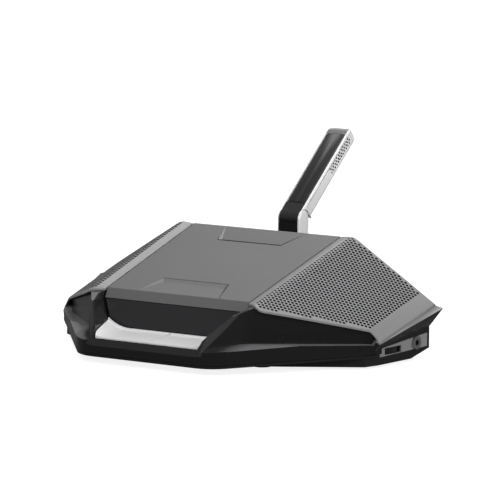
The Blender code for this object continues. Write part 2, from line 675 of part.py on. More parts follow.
def wing_scoop():
    """The open space in front of a wing: sloping ledge, leaning wall and rounded outer end."""
    def ledge(ring):
        lip_start = LEDGE_LIP_Z + SEAM_RISE_SHARE * POST_FOOT_Y
        corners = [LEDGE_INNER_Z for point in ring[1:-3]]
        front_z = lip_start - (LEDGE_INNER_Z - LEDGE_LIP_Z) / 2
        return [lip_start, *corners, LEDGE_OUTER_Z, LEDGE_OUTER_Z, front_z]

    def level(height):
        return lambda ring: [height for point in ring]

    middle_z = (LEDGE_OUTER_Z + BEND_FRONT_Z) / 2
    top_z = BEND_FRONT_Z - RIM_WIDTH / 2
    rise = CREST_FRONT_Z - LEDGE_INNER_Z
    rings = [scoop_ring(0, 0, ledge),
             scoop_ring((middle_z - LEDGE_INNER_Z) / rise, RIM_BULGE, level(middle_z + RIM_WIDTH / 2)),
             scoop_ring((top_z - LEDGE_INNER_Z) / rise, 0, level(top_z + RIM_WIDTH)),
             scoop_ring(1, 0, level(CREST_FRONT_Z)),
             scoop_ring(1, 0, level(CREST_BACK_Z))]
    return loft("wing_scoop", rings)


RIDGE = (Vector((RIDGE_FOOT_X, RIDGE_FOOT_Y, RIDGE_FOOT_Z)),
         Vector((RIDGE_TOP_X, RIDGE_TOP_Y, RIDGE_TOP_Z)))
PANEL_SLOPE = (LIP_Y - PANEL_FOOT_Y) / (LIP_Z - PANEL_FOOT_Z)
PLATE_SLOPE = (PLATE_BACK_Z - PLATE_FRONT_Z) / (PLATE_BACK_Y - PLATE_FRONT_Y)


def panel_y(height):
    """Depth of the recess panel's front face at a height."""
    return PANEL_FOOT_Y + (height - PANEL_FOOT_Z) * PANEL_SLOPE


def recess_ring(height, set_back):
    """One plan ring of the finger recess: open to the front, closed by the panel's wall."""
    share = (height - RIDGE_FOOT_Z) / (RIDGE_TOP_Z - RIDGE_FOOT_Z)
    ridge = RIDGE[0].lerp(RIDGE[1], min(max(share, 0), 1))
    corner_share = min((height - PANEL_SIDE_Z) / (LIP_Z - PANEL_SIDE_Z), 1)
    corner_x = PANEL_SIDE_HALF + (PLATE_FRONT_HALF - PANEL_SIDE_HALF) * corner_share
    back_y = panel_y(height) + set_back if height <= LIP_Z else PLATE_FRONT_Y + PLATE_THICK
    front_y = BAR_Y - OVERRUN
    points = [(-OVERRUN, front_y), (ridge.x, front_y), (ridge.x, ridge.y),
              (max(corner_x, POCKET_HALF), back_y), (-OVERRUN, back_y)]
    return [Vector((x, y, height)) for x, y in points]


def finger_recess():
    """The open trough over the buttons, with its side walls leaning out to the posts' ridges."""
    set_back = PANEL_THICK + GAP
    heights = [BAR_TOP_Z, RIDGE_FOOT_Z, PANEL_SIDE_Z, LIP_Z, RIDGE_TOP_Z, CREST_BACK_Z]
    return loft("finger_recess", [recess_ring(height, set_back) for height in heights])


def button_outline(clearance):
    """Half of the tray in plan, kept clear of the bar, the posts and the panel."""
    front_y = BUTTON_FRONT_Y - clearance
    front_x = RIDGE_FOOT_X + clearance
    side_y = PANEL_FOOT_Y * BUTTON_SIDE_SHARE
    side_x = BUTTON_OUTER_HALF * BUTTON_SIDE_WIDTH_SHARE + clearance
    outer = BUTTON_OUTER_HALF + clearance
    return [(front_x, front_y), (side_x, side_y), (outer, BUTTON_BACK_Y + clearance)]


def post_facet():
    """Cuts a slanted post's front face, from its foot to its top."""
    low = Vector((POST_EDGE_X, POST_EDGE_Y, POST_EDGE_Z))
    run = Vector((POST_TOP_X, POST_TOP_Y, POST_TOP_Z)) - low
    rise = Vector((FACET_RISE_X, FACET_RISE_Y, FACET_RISE_Z))
    out = run.cross(rise).normalized() * CORNER_RADIUS
    along = run * POST_CUT_SHARE
    start = low - run * POST_LEAD_SHARE
    return framed_box("post_facet", start, along, rise.normalized() * CORNER_RADIUS * 2, out)


def bar_facet():
    """Cuts the bevelled face along the front bar."""
    low = Vector((-OVERRUN, BAR_Y, BAR_FACET_Z))
    rise = Vector((0, BAR_TOP_Y - BAR_Y, BAR_TOP_Z - BAR_FACET_Z)).normalized() * CORNER_RADIUS
    run = Vector((BAR_HALF + OVERRUN * 2, 0, 0))
    out = run.cross(rise).normalized() * CORNER_RADIUS / 2
    return framed_box("bar_facet", low, run, rise, out)


def inner_outline():
    """Half of the housing's hollow in plan, one wall behind the panel and the wings' walls."""
    back_of_panel = panel_y(LIP_Z) + PANEL_THICK + WALL * 2
    inner = Vector((WALL_INNER_X, WALL_INNER_Y, 0)) - WALL_OUT * WALL
    start = inner + WALL_RUN * (back_of_panel - inner.y) / WALL_RUN.y
    outer = Vector((WALL_OUTER_X, WALL_OUTER_Y, 0)) - WALL_OUT * WALL + WALL_RUN * RIM_BULGE
    side_x = TIP_BACK_X
    return [(-OVERRUN, back_of_panel), (start.x, start.y), (outer.x, outer.y),
            (side_x, outer.y + WALL), (side_x, REAR_Y - WALL), (-OVERRUN, REAR_Y - WALL)]


def speaker_axis():
    """Direction of the grille's plane face, pointing out."""
    along = Vector(BEND[1]) - Vector(BEND[0])
    across = Vector(CREST[0]) - Vector(BEND[0])
    return along.cross(across).normalized()


def grille_point(x, y):
    """The point of the grille's plane face over a place in plan."""
    normal = speaker_axis()
    start = Vector(BEND[0])
    z = start.z - (normal.x * (x - start.x) + normal.y * (y - start.y)) / normal.z
    return Vector((x, y, z))


def upper_housing():
    """The dark moulding that everything else is fixed to."""
    floor = -CREST_FRONT_Z
    drop = SHEET + GAP
    housing = body_volume("upper_housing", drop, 0, -OVERRUN, REAR_Y + OVERRUN, floor, DARK)
    outline = extruded("housing_outline", front_outline(), floor - OVERRUN, CREST_BACK_Z + OVERRUN)
    keep_inside(housing, outline)
    cut(housing, wing_scoop())
    cut(housing, finger_recess())
    cut(housing, post_facet())
    cut(housing, bar_facet())
    cut(housing, button_pocket())
    cut(housing, seam_slab("below_seam", -REAR_Y, HOUSING_SEAM_Z))
    cut(housing, cheek_space())
    hollow = body_volume("housing_hollow", drop + WALL, WALL, LIP_Y, REAR_Y, floor - OVERRUN)
    keep_inside(hollow, extruded("hollow_outline", inner_outline(), floor - OVERRUN * 2, CREST_BACK_Z))
    cut(housing, hollow)
    cut(housing, plate_seat())
    mirror(housing)
    for side in (1, -1):
        cut(housing, speaker_well(side))
    rear_openings(housing)


def speaker_well(side):
    centre = grille_point(SPEAKER_X, SPEAKER_Y)
    radius = SPEAKER_RADIUS - SPEAKER_WELL_SET_IN
    profile = [(0, OVERRUN), (radius, OVERRUN), (radius, -OVERRUN * 2), (0, -OVERRUN * 2)]
    well = turned("speaker_well_" + ("right" if side > 0 else "left"), profile, FINE_STEPS)
    axis = speaker_axis()
    return place(well, (centre.x * side, centre.y, centre.z), (axis.x * side, axis.y, axis.z))


def button_pocket():
    """The sunk space for the buttons and their switches, behind the bar."""
    shape = [(-OVERRUN, BUTTON_FRONT_Y - GAP * 2), *button_outline(GAP * 2), (-OVERRUN, BUTTON_BACK_Y +
                                                                              GAP * 2)]
    return extruded("button_pocket", shape, POCKET_FLOOR_Z, PANEL_SIDE_Z)


def cheek_space():
    """Room beside the ports, under the shoulder band, where the base's side cheek stands."""
    wide = TIP_BACK_X + OVERRUN
    rings = []
    for y in (CHEEK_FRONT_Y, REAR_Y + OVERRUN):
        top = line_at(*BAND, y).z
        rings.append([(CHEEK_INNER_X, y, -OVERRUN), (wide, y, -OVERRUN), (wide, y, top), (CHEEK_INNER_X,
                                                                                          y, top)])
    return loft("cheek_space", rings)


def plate_seat():
    """Seat for the thick top plate, cut below the sheet's own level."""
    rings = []
    for y in (LIP_Y - OVERRUN, PLATE_BACK_Y + GAP):
        edge = line_at(*PLATE_EDGE, y)
        low = edge.z - PLATE_THICK - GAP
        wide = edge.x + GAP
        rings.append([(-OVERRUN, y, low), (wide, y, low), (wide, y, edge.z + OVERRUN), (-OVERRUN, y,
                                                                                        edge.z +
                                                                                        OVERRUN)])
    return loft("plate_seat", rings)


def tub_outline(inset):
    """Half of the set-back tub in plan."""
    side_front = TUB_SIDE_FRONT_X - inset
    side_back = TUB_SIDE_BACK_X - inset
    return [(-OVERRUN, TUB_FRONT_Y + inset), (TUB_FRONT_HALF, TUB_FRONT_Y + inset),
            (TUB_MIDDLE_X - inset / 2, TUB_MIDDLE_Y + inset), (TUB_CORNER_X - inset, TUB_CORNER_Y +
                                                               inset),
            (side_front, CHEEK_FRONT_Y), (side_back, REAR_Y - inset), (-OVERRUN, REAR_Y - inset)]


def rear_chamfer(name, lift):
    """Cuts the rising underside at the rear of the tub."""
    rise = (TUB_REAR_FLOOR_Z - TUB_FLOOR_Z) / (REAR_Y - TUB_CHAMFER_Y)
    front_y = TUB_CHAMFER_Y - OVERRUN
    back_y = REAR_Y + OVERRUN
    front_z = TUB_FLOOR_Z + lift - OVERRUN * rise
    back_z = TUB_REAR_FLOOR_Z + lift + OVERRUN * rise
    rings = []
    for x in (-OVERRUN * 2, TIP_BACK_X + OVERRUN):
        rings.append([(x, front_y, front_z), (x, back_y, back_z), (x, back_y, -OVERRUN), (x, front_y,
                                                                                          -OVERRUN)])
    return loft(name, rings)


def cheek_top(lift):
    """A wedge above the side cheek, following the shoulder band's lower edge."""
    rings = []
    for y in (CHEEK_FRONT_Y - OVERRUN * 2, REAR_Y + OVERRUN):
        low = line_at(*BAND, y).z - lift
        rings.append([(-OVERRUN * 2, y, low), (TIP_BACK_X + OVERRUN, y, low),
                      (TIP_BACK_X + OVERRUN, y, CREST_BACK_Z), (-OVERRUN * 2, y, CREST_BACK_Z)])
    return loft("above_cheek", rings)


def rim_side():
    """Ends the rim at the cheeks' front, with its cut face inside the tub's wall."""
    front_y = CHEEK_FRONT_Y - OVERRUN
    back_y = REAR_Y + OVERRUN
    wide = TIP_BACK_X + OVERRUN * 2
    inside = TUB_WALL / 2
    outline = [(TUB_SIDE_FRONT_X - inside, front_y), (wide, front_y), (wide, back_y),
               (TUB_SIDE_BACK_X - inside, back_y)]
    return extruded("rim_side", outline, -OVERRUN * 2, CREST_BACK_Z)


def cheek_zone():
    """The room on the outer side of the housing where the base's cheek stands up."""
    inner = CHEEK_INNER_X + GAP * 2
    front_y = CHEEK_FRONT_Y + GAP
    back_y = REAR_Y + OVERRUN * 2
    wide = TIP_BACK_X + OVERRUN * 2
    outline = [(inner, front_y), (wide, front_y), (wide, back_y), (inner, back_y)]
    return extruded("cheek_zone", outline, -OVERRUN, REAR_Y * 2)


def base_pan():
    """The lower moulding: rim under the housing, set-back tub, side cheeks, open at the top."""
    rim = extruded("base_pan", front_outline(BASE_SET_IN), -OVERRUN, CREST_FRONT_Z, DARK)
    cut(rim, seam_slab("below_rim", -REAR_Y, HOUSING_SEAM_Z - BASE_BAND))
    cut(rim, rim_side())
    join(rim, extruded("tub", tub_outline(0), TUB_FLOOR_Z, CREST_BACK_Z))
    above = seam_slab("above_rim", HOUSING_SEAM_Z - GAP, REAR_Y)
    cut(above, cheek_zone())
    cut(rim, above)
    cut(rim, cheek_top(GAP))
    cut(rim, rear_chamfer("rear_chamfer", 0))
    hollow = extruded("tub_hollow", tub_outline(TUB_WALL), TUB_FLOOR_Z + FLOOR_THICK, CREST_BACK_Z)
    cut(hollow, rear_chamfer("rear_floor", FLOOR_THICK))
    cut(rim, hollow)
    for centre_x, centre_y in FOOT_PLACES:
        recess = turned("foot_recess", disc(FOOT_RADIUS + GAP, OVERRUN, FOOT_RECESS), ROUND_STEPS)
        recess.location = (centre_x, centre_y, TUB_FLOOR_Z)
        cut(rim, recess)
    for centre_x, centre_y in SCREW_PLACES:
        boss = turned("screw_boss", disc(BOSS_RADIUS, 0, BOSS_HEIGHT), SMALL_STEPS)
        boss.location = (centre_x, centre_y, TUB_FLOOR_Z + BOSS_SINK)
        join(rim, boss)
        bore = turned("screw_bore", disc(SCREW_RADIUS + GAP, OVERRUN * 2, OVERRUN * 4), SMALL_STEPS)
        bore.location = (centre_x, centre_y, TUB_FLOOR_Z)
        cut(rim, bore)
        sunk = turned("screw_head_recess", disc(SCREW_HEAD_RADIUS + GAP, OVERRUN, SCREW_HEAD + GAP),
                      SMALL_STEPS)
        sunk.location = (centre_x, centre_y, TUB_FLOOR_Z)
        cut(rim, sunk)
    for centre_y in (BOARD_FRONT_Y + STANDOFF_END, BOARD_BACK_Y - STANDOFF_END):
        standoff = turned("board_standoff", disc(BOSS_RADIUS, 0, BOSS_HEIGHT), SMALL_STEPS)
        standoff.location = (STANDOFF_X, centre_y, TUB_FLOOR_Z + BOSS_SINK)
        join(rim, standoff)
    cut_ports(rim)
    mirror(rim)
    return rim


def disc(radius, below, above):
    """Profile of a plain round body between two heights."""
    return [(0, above), (radius, above), (radius, -below), (0, -below)]


def side_name(side):
    return "right" if side > 0 else "left"


def feet():
    for place_name, (x, y) in zip(("front", "rear"), FOOT_PLACES):
        for side in (1, -1):
            profile = [(0, FOOT_RECESS - GAP), (FOOT_RADIUS, FOOT_RECESS - GAP),
                       (FOOT_RADIUS, FOOT_CHAMFER - TUB_FLOOR_Z), (FOOT_RADIUS - FOOT_CHAMFER,
                                                                   -TUB_FLOOR_Z), (0, -TUB_FLOOR_Z)]
            foot = turned("foot_" + place_name + "_" + side_name(side), profile, ROUND_STEPS, RUBBER)
            foot.location = (x * side, y, TUB_FLOOR_Z)


def screws():
    for place_name, (x, y) in zip(("front", "rear"), SCREW_PLACES):
        for side in (1, -1):
            profile = [(0, SCREW_LENGTH), (SCREW_RADIUS, SCREW_LENGTH), (SCREW_RADIUS, SCREW_HEAD),
                       (SCREW_HEAD_RADIUS, SCREW_HEAD), (SCREW_HEAD_RADIUS, GAP), (0, GAP)]
            screw = turned("screw_" + place_name + "_" + side_name(side), profile, SMALL_STEPS, STEEL)
            screw.location = (x * side, y, TUB_FLOOR_Z)


def plate_ring(y, top, thick):
    edge = line_at(*PLATE_EDGE, y)
    wide = edge.x - GAP
    low = top - thick
    return [(-wide, y, top), (wide, y, top), (wide, y, low), (-wide, y, low)]


def inset_wedge(name, front_y, back_y, front_half, back_half, front_depth, back_depth):
    """Cuts one of the two shallow wedge-shaped insets of the top plate."""
    slope = PLATE_SLOPE
    rings = []
    for y, half, depth in ((front_y, front_half, front_depth), (back_y, back_half, back_depth)):
        top = PLATE_FRONT_Z + (y - PLATE_FRONT_Y) * slope
        low = top - depth
        rings.append([(-half, y, low), (half, y, low), (half + INSET_DEPTH, y, top + OVERRUN),
                      (-half - INSET_DEPTH, y, top + OVERRUN)])
    return loft(name, rings)


def top_plate():
    """The grey plate with its front lip bent down and its two wedge-shaped insets."""
    lip = [(-PLATE_FRONT_HALF + GAP, LIP_Y, LIP_Z), (PLATE_FRONT_HALF - GAP, LIP_Y, LIP_Z),
           (PLATE_FRONT_HALF - GAP, LIP_Y + PANEL_THICK, LIP_Z), (-PLATE_FRONT_HALF + GAP, LIP_Y +
                                                                  PANEL_THICK, LIP_Z)]
    back = plate_ring(PLATE_BACK_Y, PLATE_BACK_Z, PLATE_THICK)
    front = plate_ring(PLATE_FRONT_Y, PLATE_FRONT_Z, PLATE_THICK)
    bend_back = PLATE_THICK / 2
    for i in (2, 3):
        front[i] = (front[i][0], PLATE_FRONT_Y + bend_back, front[i][2] + bend_back * PLATE_SLOPE)
    plate = loft("top_plate", [lip, front, back], GREY)
    front_end = PLATE_FRONT_Y + FRONT_INSET_LENGTH
    cut(plate, inset_wedge("front_inset", PLATE_FRONT_Y, front_end, FRONT_INSET_HALF,
                           FRONT_INSET_BACK_HALF, 0, INSET_DEPTH))
    rear_start = PLATE_BACK_Y - REAR_INSET_LENGTH
    cut(plate, inset_wedge("rear_inset", rear_start, PLATE_BACK_Y, REAR_INSET_FRONT_HALF,
                           REAR_INSET_HALF, INSET_DEPTH, 0))
    return plate


def hole_places():
    """Staggered places in plan inside the grille's plane face."""
    front_line = Vector((WALL_INNER_X, WALL_INNER_Y, 0)) + WALL_OUT * WALL_LEAN
    rows = int((PLATE_BACK_Y - CREST_FRONT_Y) / HOLE_PITCH)
    places = []
    for row in range(rows):
        y = PLATE_BACK_Y - GRILLE_MARGIN - HOLE_SIDE / 2 - row * HOLE_PITCH
        low_x = line_at(*CREST, y).x + GRILLE_MARGIN
        high_x = line_at(*BEND, y).x - GRILLE_MARGIN
        columns = int((high_x - low_x) / HOLE_PITCH) + 1
        for column in range(columns):
            x = low_x + (column + (row % 2) / 2) * HOLE_PITCH
            set_back = -(Vector((x, y, 0)) - front_line).dot(WALL_OUT)
            if x < high_x and set_back > GRILLE_MARGIN + HOLE_SIDE / 2:
                places.append((x, y))
    return places


def hole_field(name):
    """Upright four-sided cutters, one for each hole of the grille."""
    shape = bmesh.new()
    for x, y in hole_places():
        z = grille_point(x, y).z
        corners = bmesh.ops.create_cone(shape, cap_ends=True, segments=4, radius1=HOLE_SIDE / 2,
                                        radius2=HOLE_SIDE / 2, depth=OVERRUN * 2)
        bmesh.ops.translate(shape, verts=corners["verts"], vec=(x, y, z))
    return add_object(name, mesh_from(shape, name))


def grille():
    """One perforated loudspeaker grille, bent over the wing from the crest to the seam."""
    def ring(depth):
        upper = skin_points(depth)
        lower = [point - Vector((0, 0, SHEET)) for point in reversed(upper)]
        return [*upper, *lower]

    name = "grille_right"
    depths = (-OVERRUN, SEAM_FRONT_Y, REAR_Y + OVERRUN)
    sheet = loft(name, [ring(depth) for depth in depths], GRILLE)
    start = Vector((WALL_INNER_X, WALL_INNER_Y, 0)) + WALL_OUT * WALL_LEAN - WALL_RUN * CORNER_RADIUS
    end = Vector((WALL_OUTER_X, WALL_OUTER_Y, 0)) + WALL_OUT * WALL_LEAN
    outline = [(PLATE_FRONT_HALF - OVERRUN, PLATE_FRONT_Y), (start.x + CORNER_RADIUS, start.y +
                                                             CORNER_RADIUS),
               (end.x, end.y), (TIP_BACK_X + OVERRUN, end.y), (TIP_BACK_X + OVERRUN, PLATE_BACK_Y),
               (PLATE_FRONT_HALF - OVERRUN, PLATE_BACK_Y)]
    keep_inside(sheet, extruded(name + "_outline", outline, -OVERRUN, CREST_BACK_Z + OVERRUN))
    cut(sheet, hole_field(name + "_holes"))
    mirrored_copy(sheet, "grille_left")


def tilted(piece, foot, up):
    """Turns a flat piece about X, so that its Y runs up a slope from its foot."""
    piece.location = foot
    piece.rotation_euler = (math.atan2(up.z, up.y), 0, 0)
    return piece


def both_halves(half):
    """A closed outline from the right half of a symmetric one."""
    return [*half, *[(-x, y) for x, y in reversed(half)]]


def recess_panel():
    """The dark panel at the back of the finger recess, with its lower corners rounded."""
    up = Vector((0, LIP_Y - PANEL_FOOT_Y, LIP_Z - PANEL_FOOT_Z))
    length = up.length - GAP
    side_v = (PANEL_SIDE_Z - PANEL_FOOT_Z) / up.z * up.length
    side_half = PANEL_SIDE_HALF - GAP * 4
    turns = [math.pi / 2 * i / CURVE_STEPS for i in range(CURVE_STEPS + 1)]
    corner = [(PANEL_FLAT_HALF + (side_half - PANEL_FLAT_HALF) * math.sin(a), side_v * (1 - math.cos(a)))
              for a in turns]
    half = [*corner, (PLATE_FRONT_HALF - GAP * 4, length)]
    panel = extruded("recess_panel", both_halves(half), -PANEL_THICK, 0, GLOSS)
    return tilted(panel, (0, PANEL_FOOT_Y, PANEL_FOOT_Z), up)


def tray_ring(y, height, thick):
    """Cross-section of a button: flat in the middle and turned up at its outer end."""
    ends = [i / CURVE_STEPS for i in range(CURVE_STEPS + 1)]
    spread = BUTTON_OUTER_HALF + OVERRUN - PANEL_FLAT_HALF
    rise = BUTTON_UPTURN * (spread / (BUTTON_OUTER_HALF - PANEL_FLAT_HALF)) ** 2
    upper = [Vector((PANEL_FLAT_HALF + spread * s, y, height + rise * s * s)) for s in ends]
    upper.insert(0, Vector((GAP, y, height)))
    lower = [point - Vector((0, 0, thick)) for point in reversed(upper)]
    return [*upper, *lower]


def button_height(y):
    share = (y - BUTTON_FRONT_Y) / (BUTTON_BACK_Y - BUTTON_FRONT_Y)
    return BUTTON_FRONT_Z + (BUTTON_BACK_Z - BUTTON_FRONT_Z) * share


def buttons():
    """The two light tray halves that are pressed, with a low rim along the back."""
    front, back = BUTTON_FRONT_Y - OVERRUN, BUTTON_BACK_Y + OVERRUN
    tray = loft("mic_button_right",
                [tray_ring(y, button_height(y), BUTTON_THICK) for y in (front, back)], LIGHT)
    rim_y = BUTTON_BACK_Y - BUTTON_RIM
    rim = loft("button_rim",
               [tray_ring(y, button_height(rim_y) + BUTTON_RIM, BUTTON_THICK) for y in (rim_y, back)])
    join(tray, rim)
    shape = [(GAP, BUTTON_FRONT_Y), *button_outline(0), (GAP, BUTTON_BACK_Y)]
    keep_inside(tray, extruded("button_outline", shape, POCKET_FLOOR_Z, PANEL_SIDE_Z * 2))
    mirrored_copy(tray, "mic_button_left")


def button_switches():
    """The board in the pocket under the tray and its two press switches."""
    low = POCKET_FLOOR_Z + GAP
    front_y = BUTTON_FRONT_Y + BOARD_THICK
    box("button_board", (-RIDGE_FOOT_X + BOARD_THICK, front_y, low),
        (RIDGE_FOOT_X - BOARD_THICK, BUTTON_BACK_Y - BOARD_THICK, low + BOARD_THICK), BOARD)
    middle_y = (BUTTON_FRONT_Y + BUTTON_BACK_Y) / 2
    top = button_height(middle_y - SWITCH_SIDE / 2) - BUTTON_THICK - BUTTON_TRAVEL - SWITCH_CLEARANCE
    for side in (1, -1):
        x = SWITCH_X * side
        box("button_switch_" + side_name(side), (x - SWITCH_SIDE / 2, middle_y - SWITCH_SIDE / 2, low +
                                                 BOARD_THICK + GAP),
            (x + SWITCH_SIDE / 2, middle_y + SWITCH_SIDE / 2, top), DARK)


def speakers():
    """A loudspeaker with its magnet under each grille, on the grille's own slope."""
    axis = speaker_axis()
    sunk = (SHEET + GAP + WALL) * axis.z + GAP
    seat = grille_point(SPEAKER_X, SPEAKER_Y) - axis * sunk
    surround = SPEAKER_RADIUS - SPEAKER_FLANGE
    profile = [(0, -SPEAKER_DEPTH / 2), (DUST_CAP_RADIUS, -SPEAKER_DEPTH / 2 - SPEAKER_FLANGE / 2),
               (surround - SPEAKER_FLANGE, -SPEAKER_FLANGE / 2), (surround, 0), (SPEAKER_RADIUS, 0),
               (SPEAKER_RADIUS, -SPEAKER_FLANGE), (surround, -SPEAKER_FLANGE),
               (MAGNET_RADIUS, -SPEAKER_DEPTH), (0, -SPEAKER_DEPTH)]
    cone = place(turned("speaker_right", profile, FINE_STEPS, CONE), seat, axis)
    low = -SPEAKER_DEPTH - GAP
    magnet = turned("speaker_magnet_right", disc(MAGNET_RADIUS, MAGNET_DEPTH - low, low), ROUND_STEPS,
                    STEEL)
    place(magnet, seat, axis)
    mirrored_copy(cone, "speaker_left")
    mirrored_copy(magnet, "speaker_magnet_left")


SIDE_RUN = Vector((TUB_SIDE_BACK_X - TUB_SIDE_FRONT_X, REAR_Y - CHEEK_FRONT_Y, 0)).normalized()
SIDE_OUT = Vector((SIDE_RUN.y, -SIDE_RUN.x, 0))


def side_matrix():
    """Frame on the cheek's outer face: X along it to the back, Y up, Z outwards."""
    columns = Matrix((SIDE_RUN, Vector((0, 0, 1)), SIDE_OUT)).transposed().to_4x4()
    corner = Vector((TUB_SIDE_FRONT_X, CHEEK_FRONT_Y, 0))
    return Matrix.Translation(corner) @ columns


def on_side(piece, along=0.0, height=0.0):
    """Stands a piece on the cheek's outer face, at a distance along it and a height."""
    piece.matrix_basis = side_matrix() @ Matrix.Translation((along, height, 0))
    return piece


def port_outline(inset):
    low_front = (PORT_START + inset, PORT_LOW_FRONT_Z + inset)
    low_back = (PORT_END - inset, PORT_LOW_BACK_Z + inset)
    top_back = (PORT_END - inset, PORT_TOP_BACK_Z - inset)
    return [low_front, low_back, top_back, (PORT_START + inset, PORT_TOP_FRONT_Z - inset)]


def wheel_window(name, margin):
    """Slot in the cheek or the port panel for the thumbwheel's rim."""
    half = WINDOW_LENGTH / 2 + margin
    low = WHEEL_Z - WHEEL_THICK / 2 - GAP - margin
    high = WHEEL_Z + WHEEL_THICK / 2 + GAP + margin
    return on_side(box(name, (WHEEL_ALONG - half, low, -OVERRUN * 3), (WHEEL_ALONG + half, high,
                                                                       OVERRUN)))


def jack_hole(name, radius):
    return on_side(turned(name, disc(radius, OVERRUN * 3, OVERRUN), ROUND_STEPS), JACK_ALONG, JACK_Z)


def cut_ports(base):
    """Recess and openings for the port panel, the thumbwheel and the headphone socket."""
    cut(base, on_side(extruded("port_recess", port_outline(-GAP), -PORT_THICK - GAP, OVERRUN)))
    cut(base, wheel_window("cheek_window", GAP))
    cut(base, jack_hole("cheek_jack_hole", JACK_BARREL + GAP))


def side_ports():
    """Port panel, headphone socket and thumbwheel with its potentiometer, on each side."""
    panel = on_side(extruded("port_panel_right", port_outline(0), -PORT_THICK, 0, GREY))
    cut(panel, wheel_window("panel_window", 0))
    cut(panel, jack_hole("panel_jack_hole", JACK_BARREL + GAP))
    mirrored_copy(panel, "port_panel_left")

    profile = [(JACK_BORE, JACK_NUT_HEIGHT), (JACK_NUT, JACK_NUT_HEIGHT), (JACK_NUT, GAP), (JACK_BARREL,
                                                                                            GAP),
               (JACK_BARREL, -JACK_LENGTH), (0, -JACK_LENGTH), (0, -JACK_LENGTH + PORT_THICK),
               (JACK_BORE, -JACK_LENGTH + PORT_THICK), (JACK_BORE, JACK_NUT_HEIGHT)]
    jack = on_side(turned("headphone_socket_right", profile, ROUND_STEPS, STEEL), JACK_ALONG, JACK_Z)
    mirrored_copy(jack, "headphone_socket_left")

    face = Vector((TUB_SIDE_FRONT_X, CHEEK_FRONT_Y, 0)) + SIDE_RUN * WHEEL_ALONG
    centre = face - SIDE_OUT * (WHEEL_RADIUS - WHEEL_PROUD)
    outline = []
    for i in range(WHEEL_RIBS * 2):
        radius = WHEEL_RADIUS - WHEEL_RIB_DEPTH * (i % 2)
        turn = math.pi * i / WHEEL_RIBS
        outline.append((radius * math.cos(turn), radius * math.sin(turn)))
    wheel = extruded("volume_wheel_right", outline, -WHEEL_THICK / 2, WHEEL_THICK / 2, DARK)
    wheel.location = (centre.x, centre.y, WHEEL_Z)
    bore = turned("wheel_bore", disc(WHEEL_BORE, OVERRUN, OVERRUN), ROUND_STEPS)
    bore.location = wheel.location
    cut(wheel, bore)
    mirrored_copy(wheel, "volume_wheel_left")

    seat_z = TUB_FLOOR_Z + FLOOR_THICK + GAP
    low = (centre.x - POT_SIDE / 2, centre.y - POT_SIDE / 2, seat_z)
    high = (centre.x + POT_SIDE / 2, centre.y + POT_SIDE / 2, seat_z + POT_HEIGHT)
    control = box("volume_control_right", low, high, STEEL)
    shaft = turned("control_shaft", disc(WHEEL_BORE - GAP, WHEEL_THICK / 2 + SHAFT_PROUD,
                                         WHEEL_THICK / 2), ROUND_STEPS)
    shaft.location = wheel.location
    join(control, shaft)
    mirrored_copy(control, "volume_control_left")


def main_board():
    low = TUB_FLOOR_Z + BOSS_SINK + BOSS_HEIGHT + GAP
    box("main_board", (-BOARD_HALF, BOARD_FRONT_Y, low), (BOARD_HALF, BOARD_BACK_Y, low + BOARD_THICK),
        BOARD)


def rear_box(name, x, z, width, height, front_y, back_y, look=None):
    """A box set level in the rear wall, given by its middle, its size and its depth."""
    return box(name, (x - width / 2, front_y, z - height / 2), (x + width / 2, back_y, z + height / 2),
               look)


def network_sockets():
    """Two cable sockets in the rear wall, open to the back."""
    for side in (1, -1):
        name = "network_socket_" + side_name(side)
        x = NETWORK_X * side
        front_y = REAR_Y - NETWORK_DEPTH
        socket = rear_box(name, x, NETWORK_Z, NETWORK_WIDTH, NETWORK_HEIGHT, front_y, REAR_Y, DARK)
        port = rear_box(name + "_port", x, NETWORK_Z, NETWORK_PORT_WIDTH, NETWORK_PORT_HEIGHT,
                        REAR_Y - NETWORK_PORT_DEPTH, REAR_Y + OVERRUN)
        cut(socket, port)


def mic_socket():
    """The block in the rear wall that takes the microphone's plug."""
    block = rear_box("mic_socket", 0, TONGUE_Z, SOCKET_HALF * 2, SOCKET_HEIGHT, REAR_Y - SOCKET_DEPTH,
                     REAR_Y, DARK)
    mouth = rear_box("mic_socket_mouth", 0, TONGUE_Z, (TONGUE_HALF + GAP) * 2, TONGUE_HEIGHT + GAP * 2,
                     REAR_Y - TONGUE_LENGTH - GAP, REAR_Y + OVERRUN)
    cut(block, mouth)


def rear_openings(housing):
    """Windows in the rear wall around the microphone socket and the network sockets."""
    front_y = REAR_Y - WALL - OVERRUN
    back_y = REAR_Y + OVERRUN
    cut(housing, rear_box("mic_socket_window", 0, TONGUE_Z, (SOCKET_HALF + GAP) * 2, SOCKET_HEIGHT +
                          GAP * 2, front_y, back_y))
    for side in (1, -1):
        cut(housing, rear_box("network_window_" + side_name(side), NETWORK_X * side, NETWORK_Z,
                              NETWORK_WIDTH + GAP * 2, NETWORK_HEIGHT + GAP * 2, front_y, back_y))


def mic_cylinder(name, radius, half, look=None):
    """A round body across the microphone, on the hinge axis."""
    piece = turned(name, disc(radius, half, half), FINE_STEPS, look)
    piece.rotation_euler = (0, math.pi / 2, 0)
    return piece


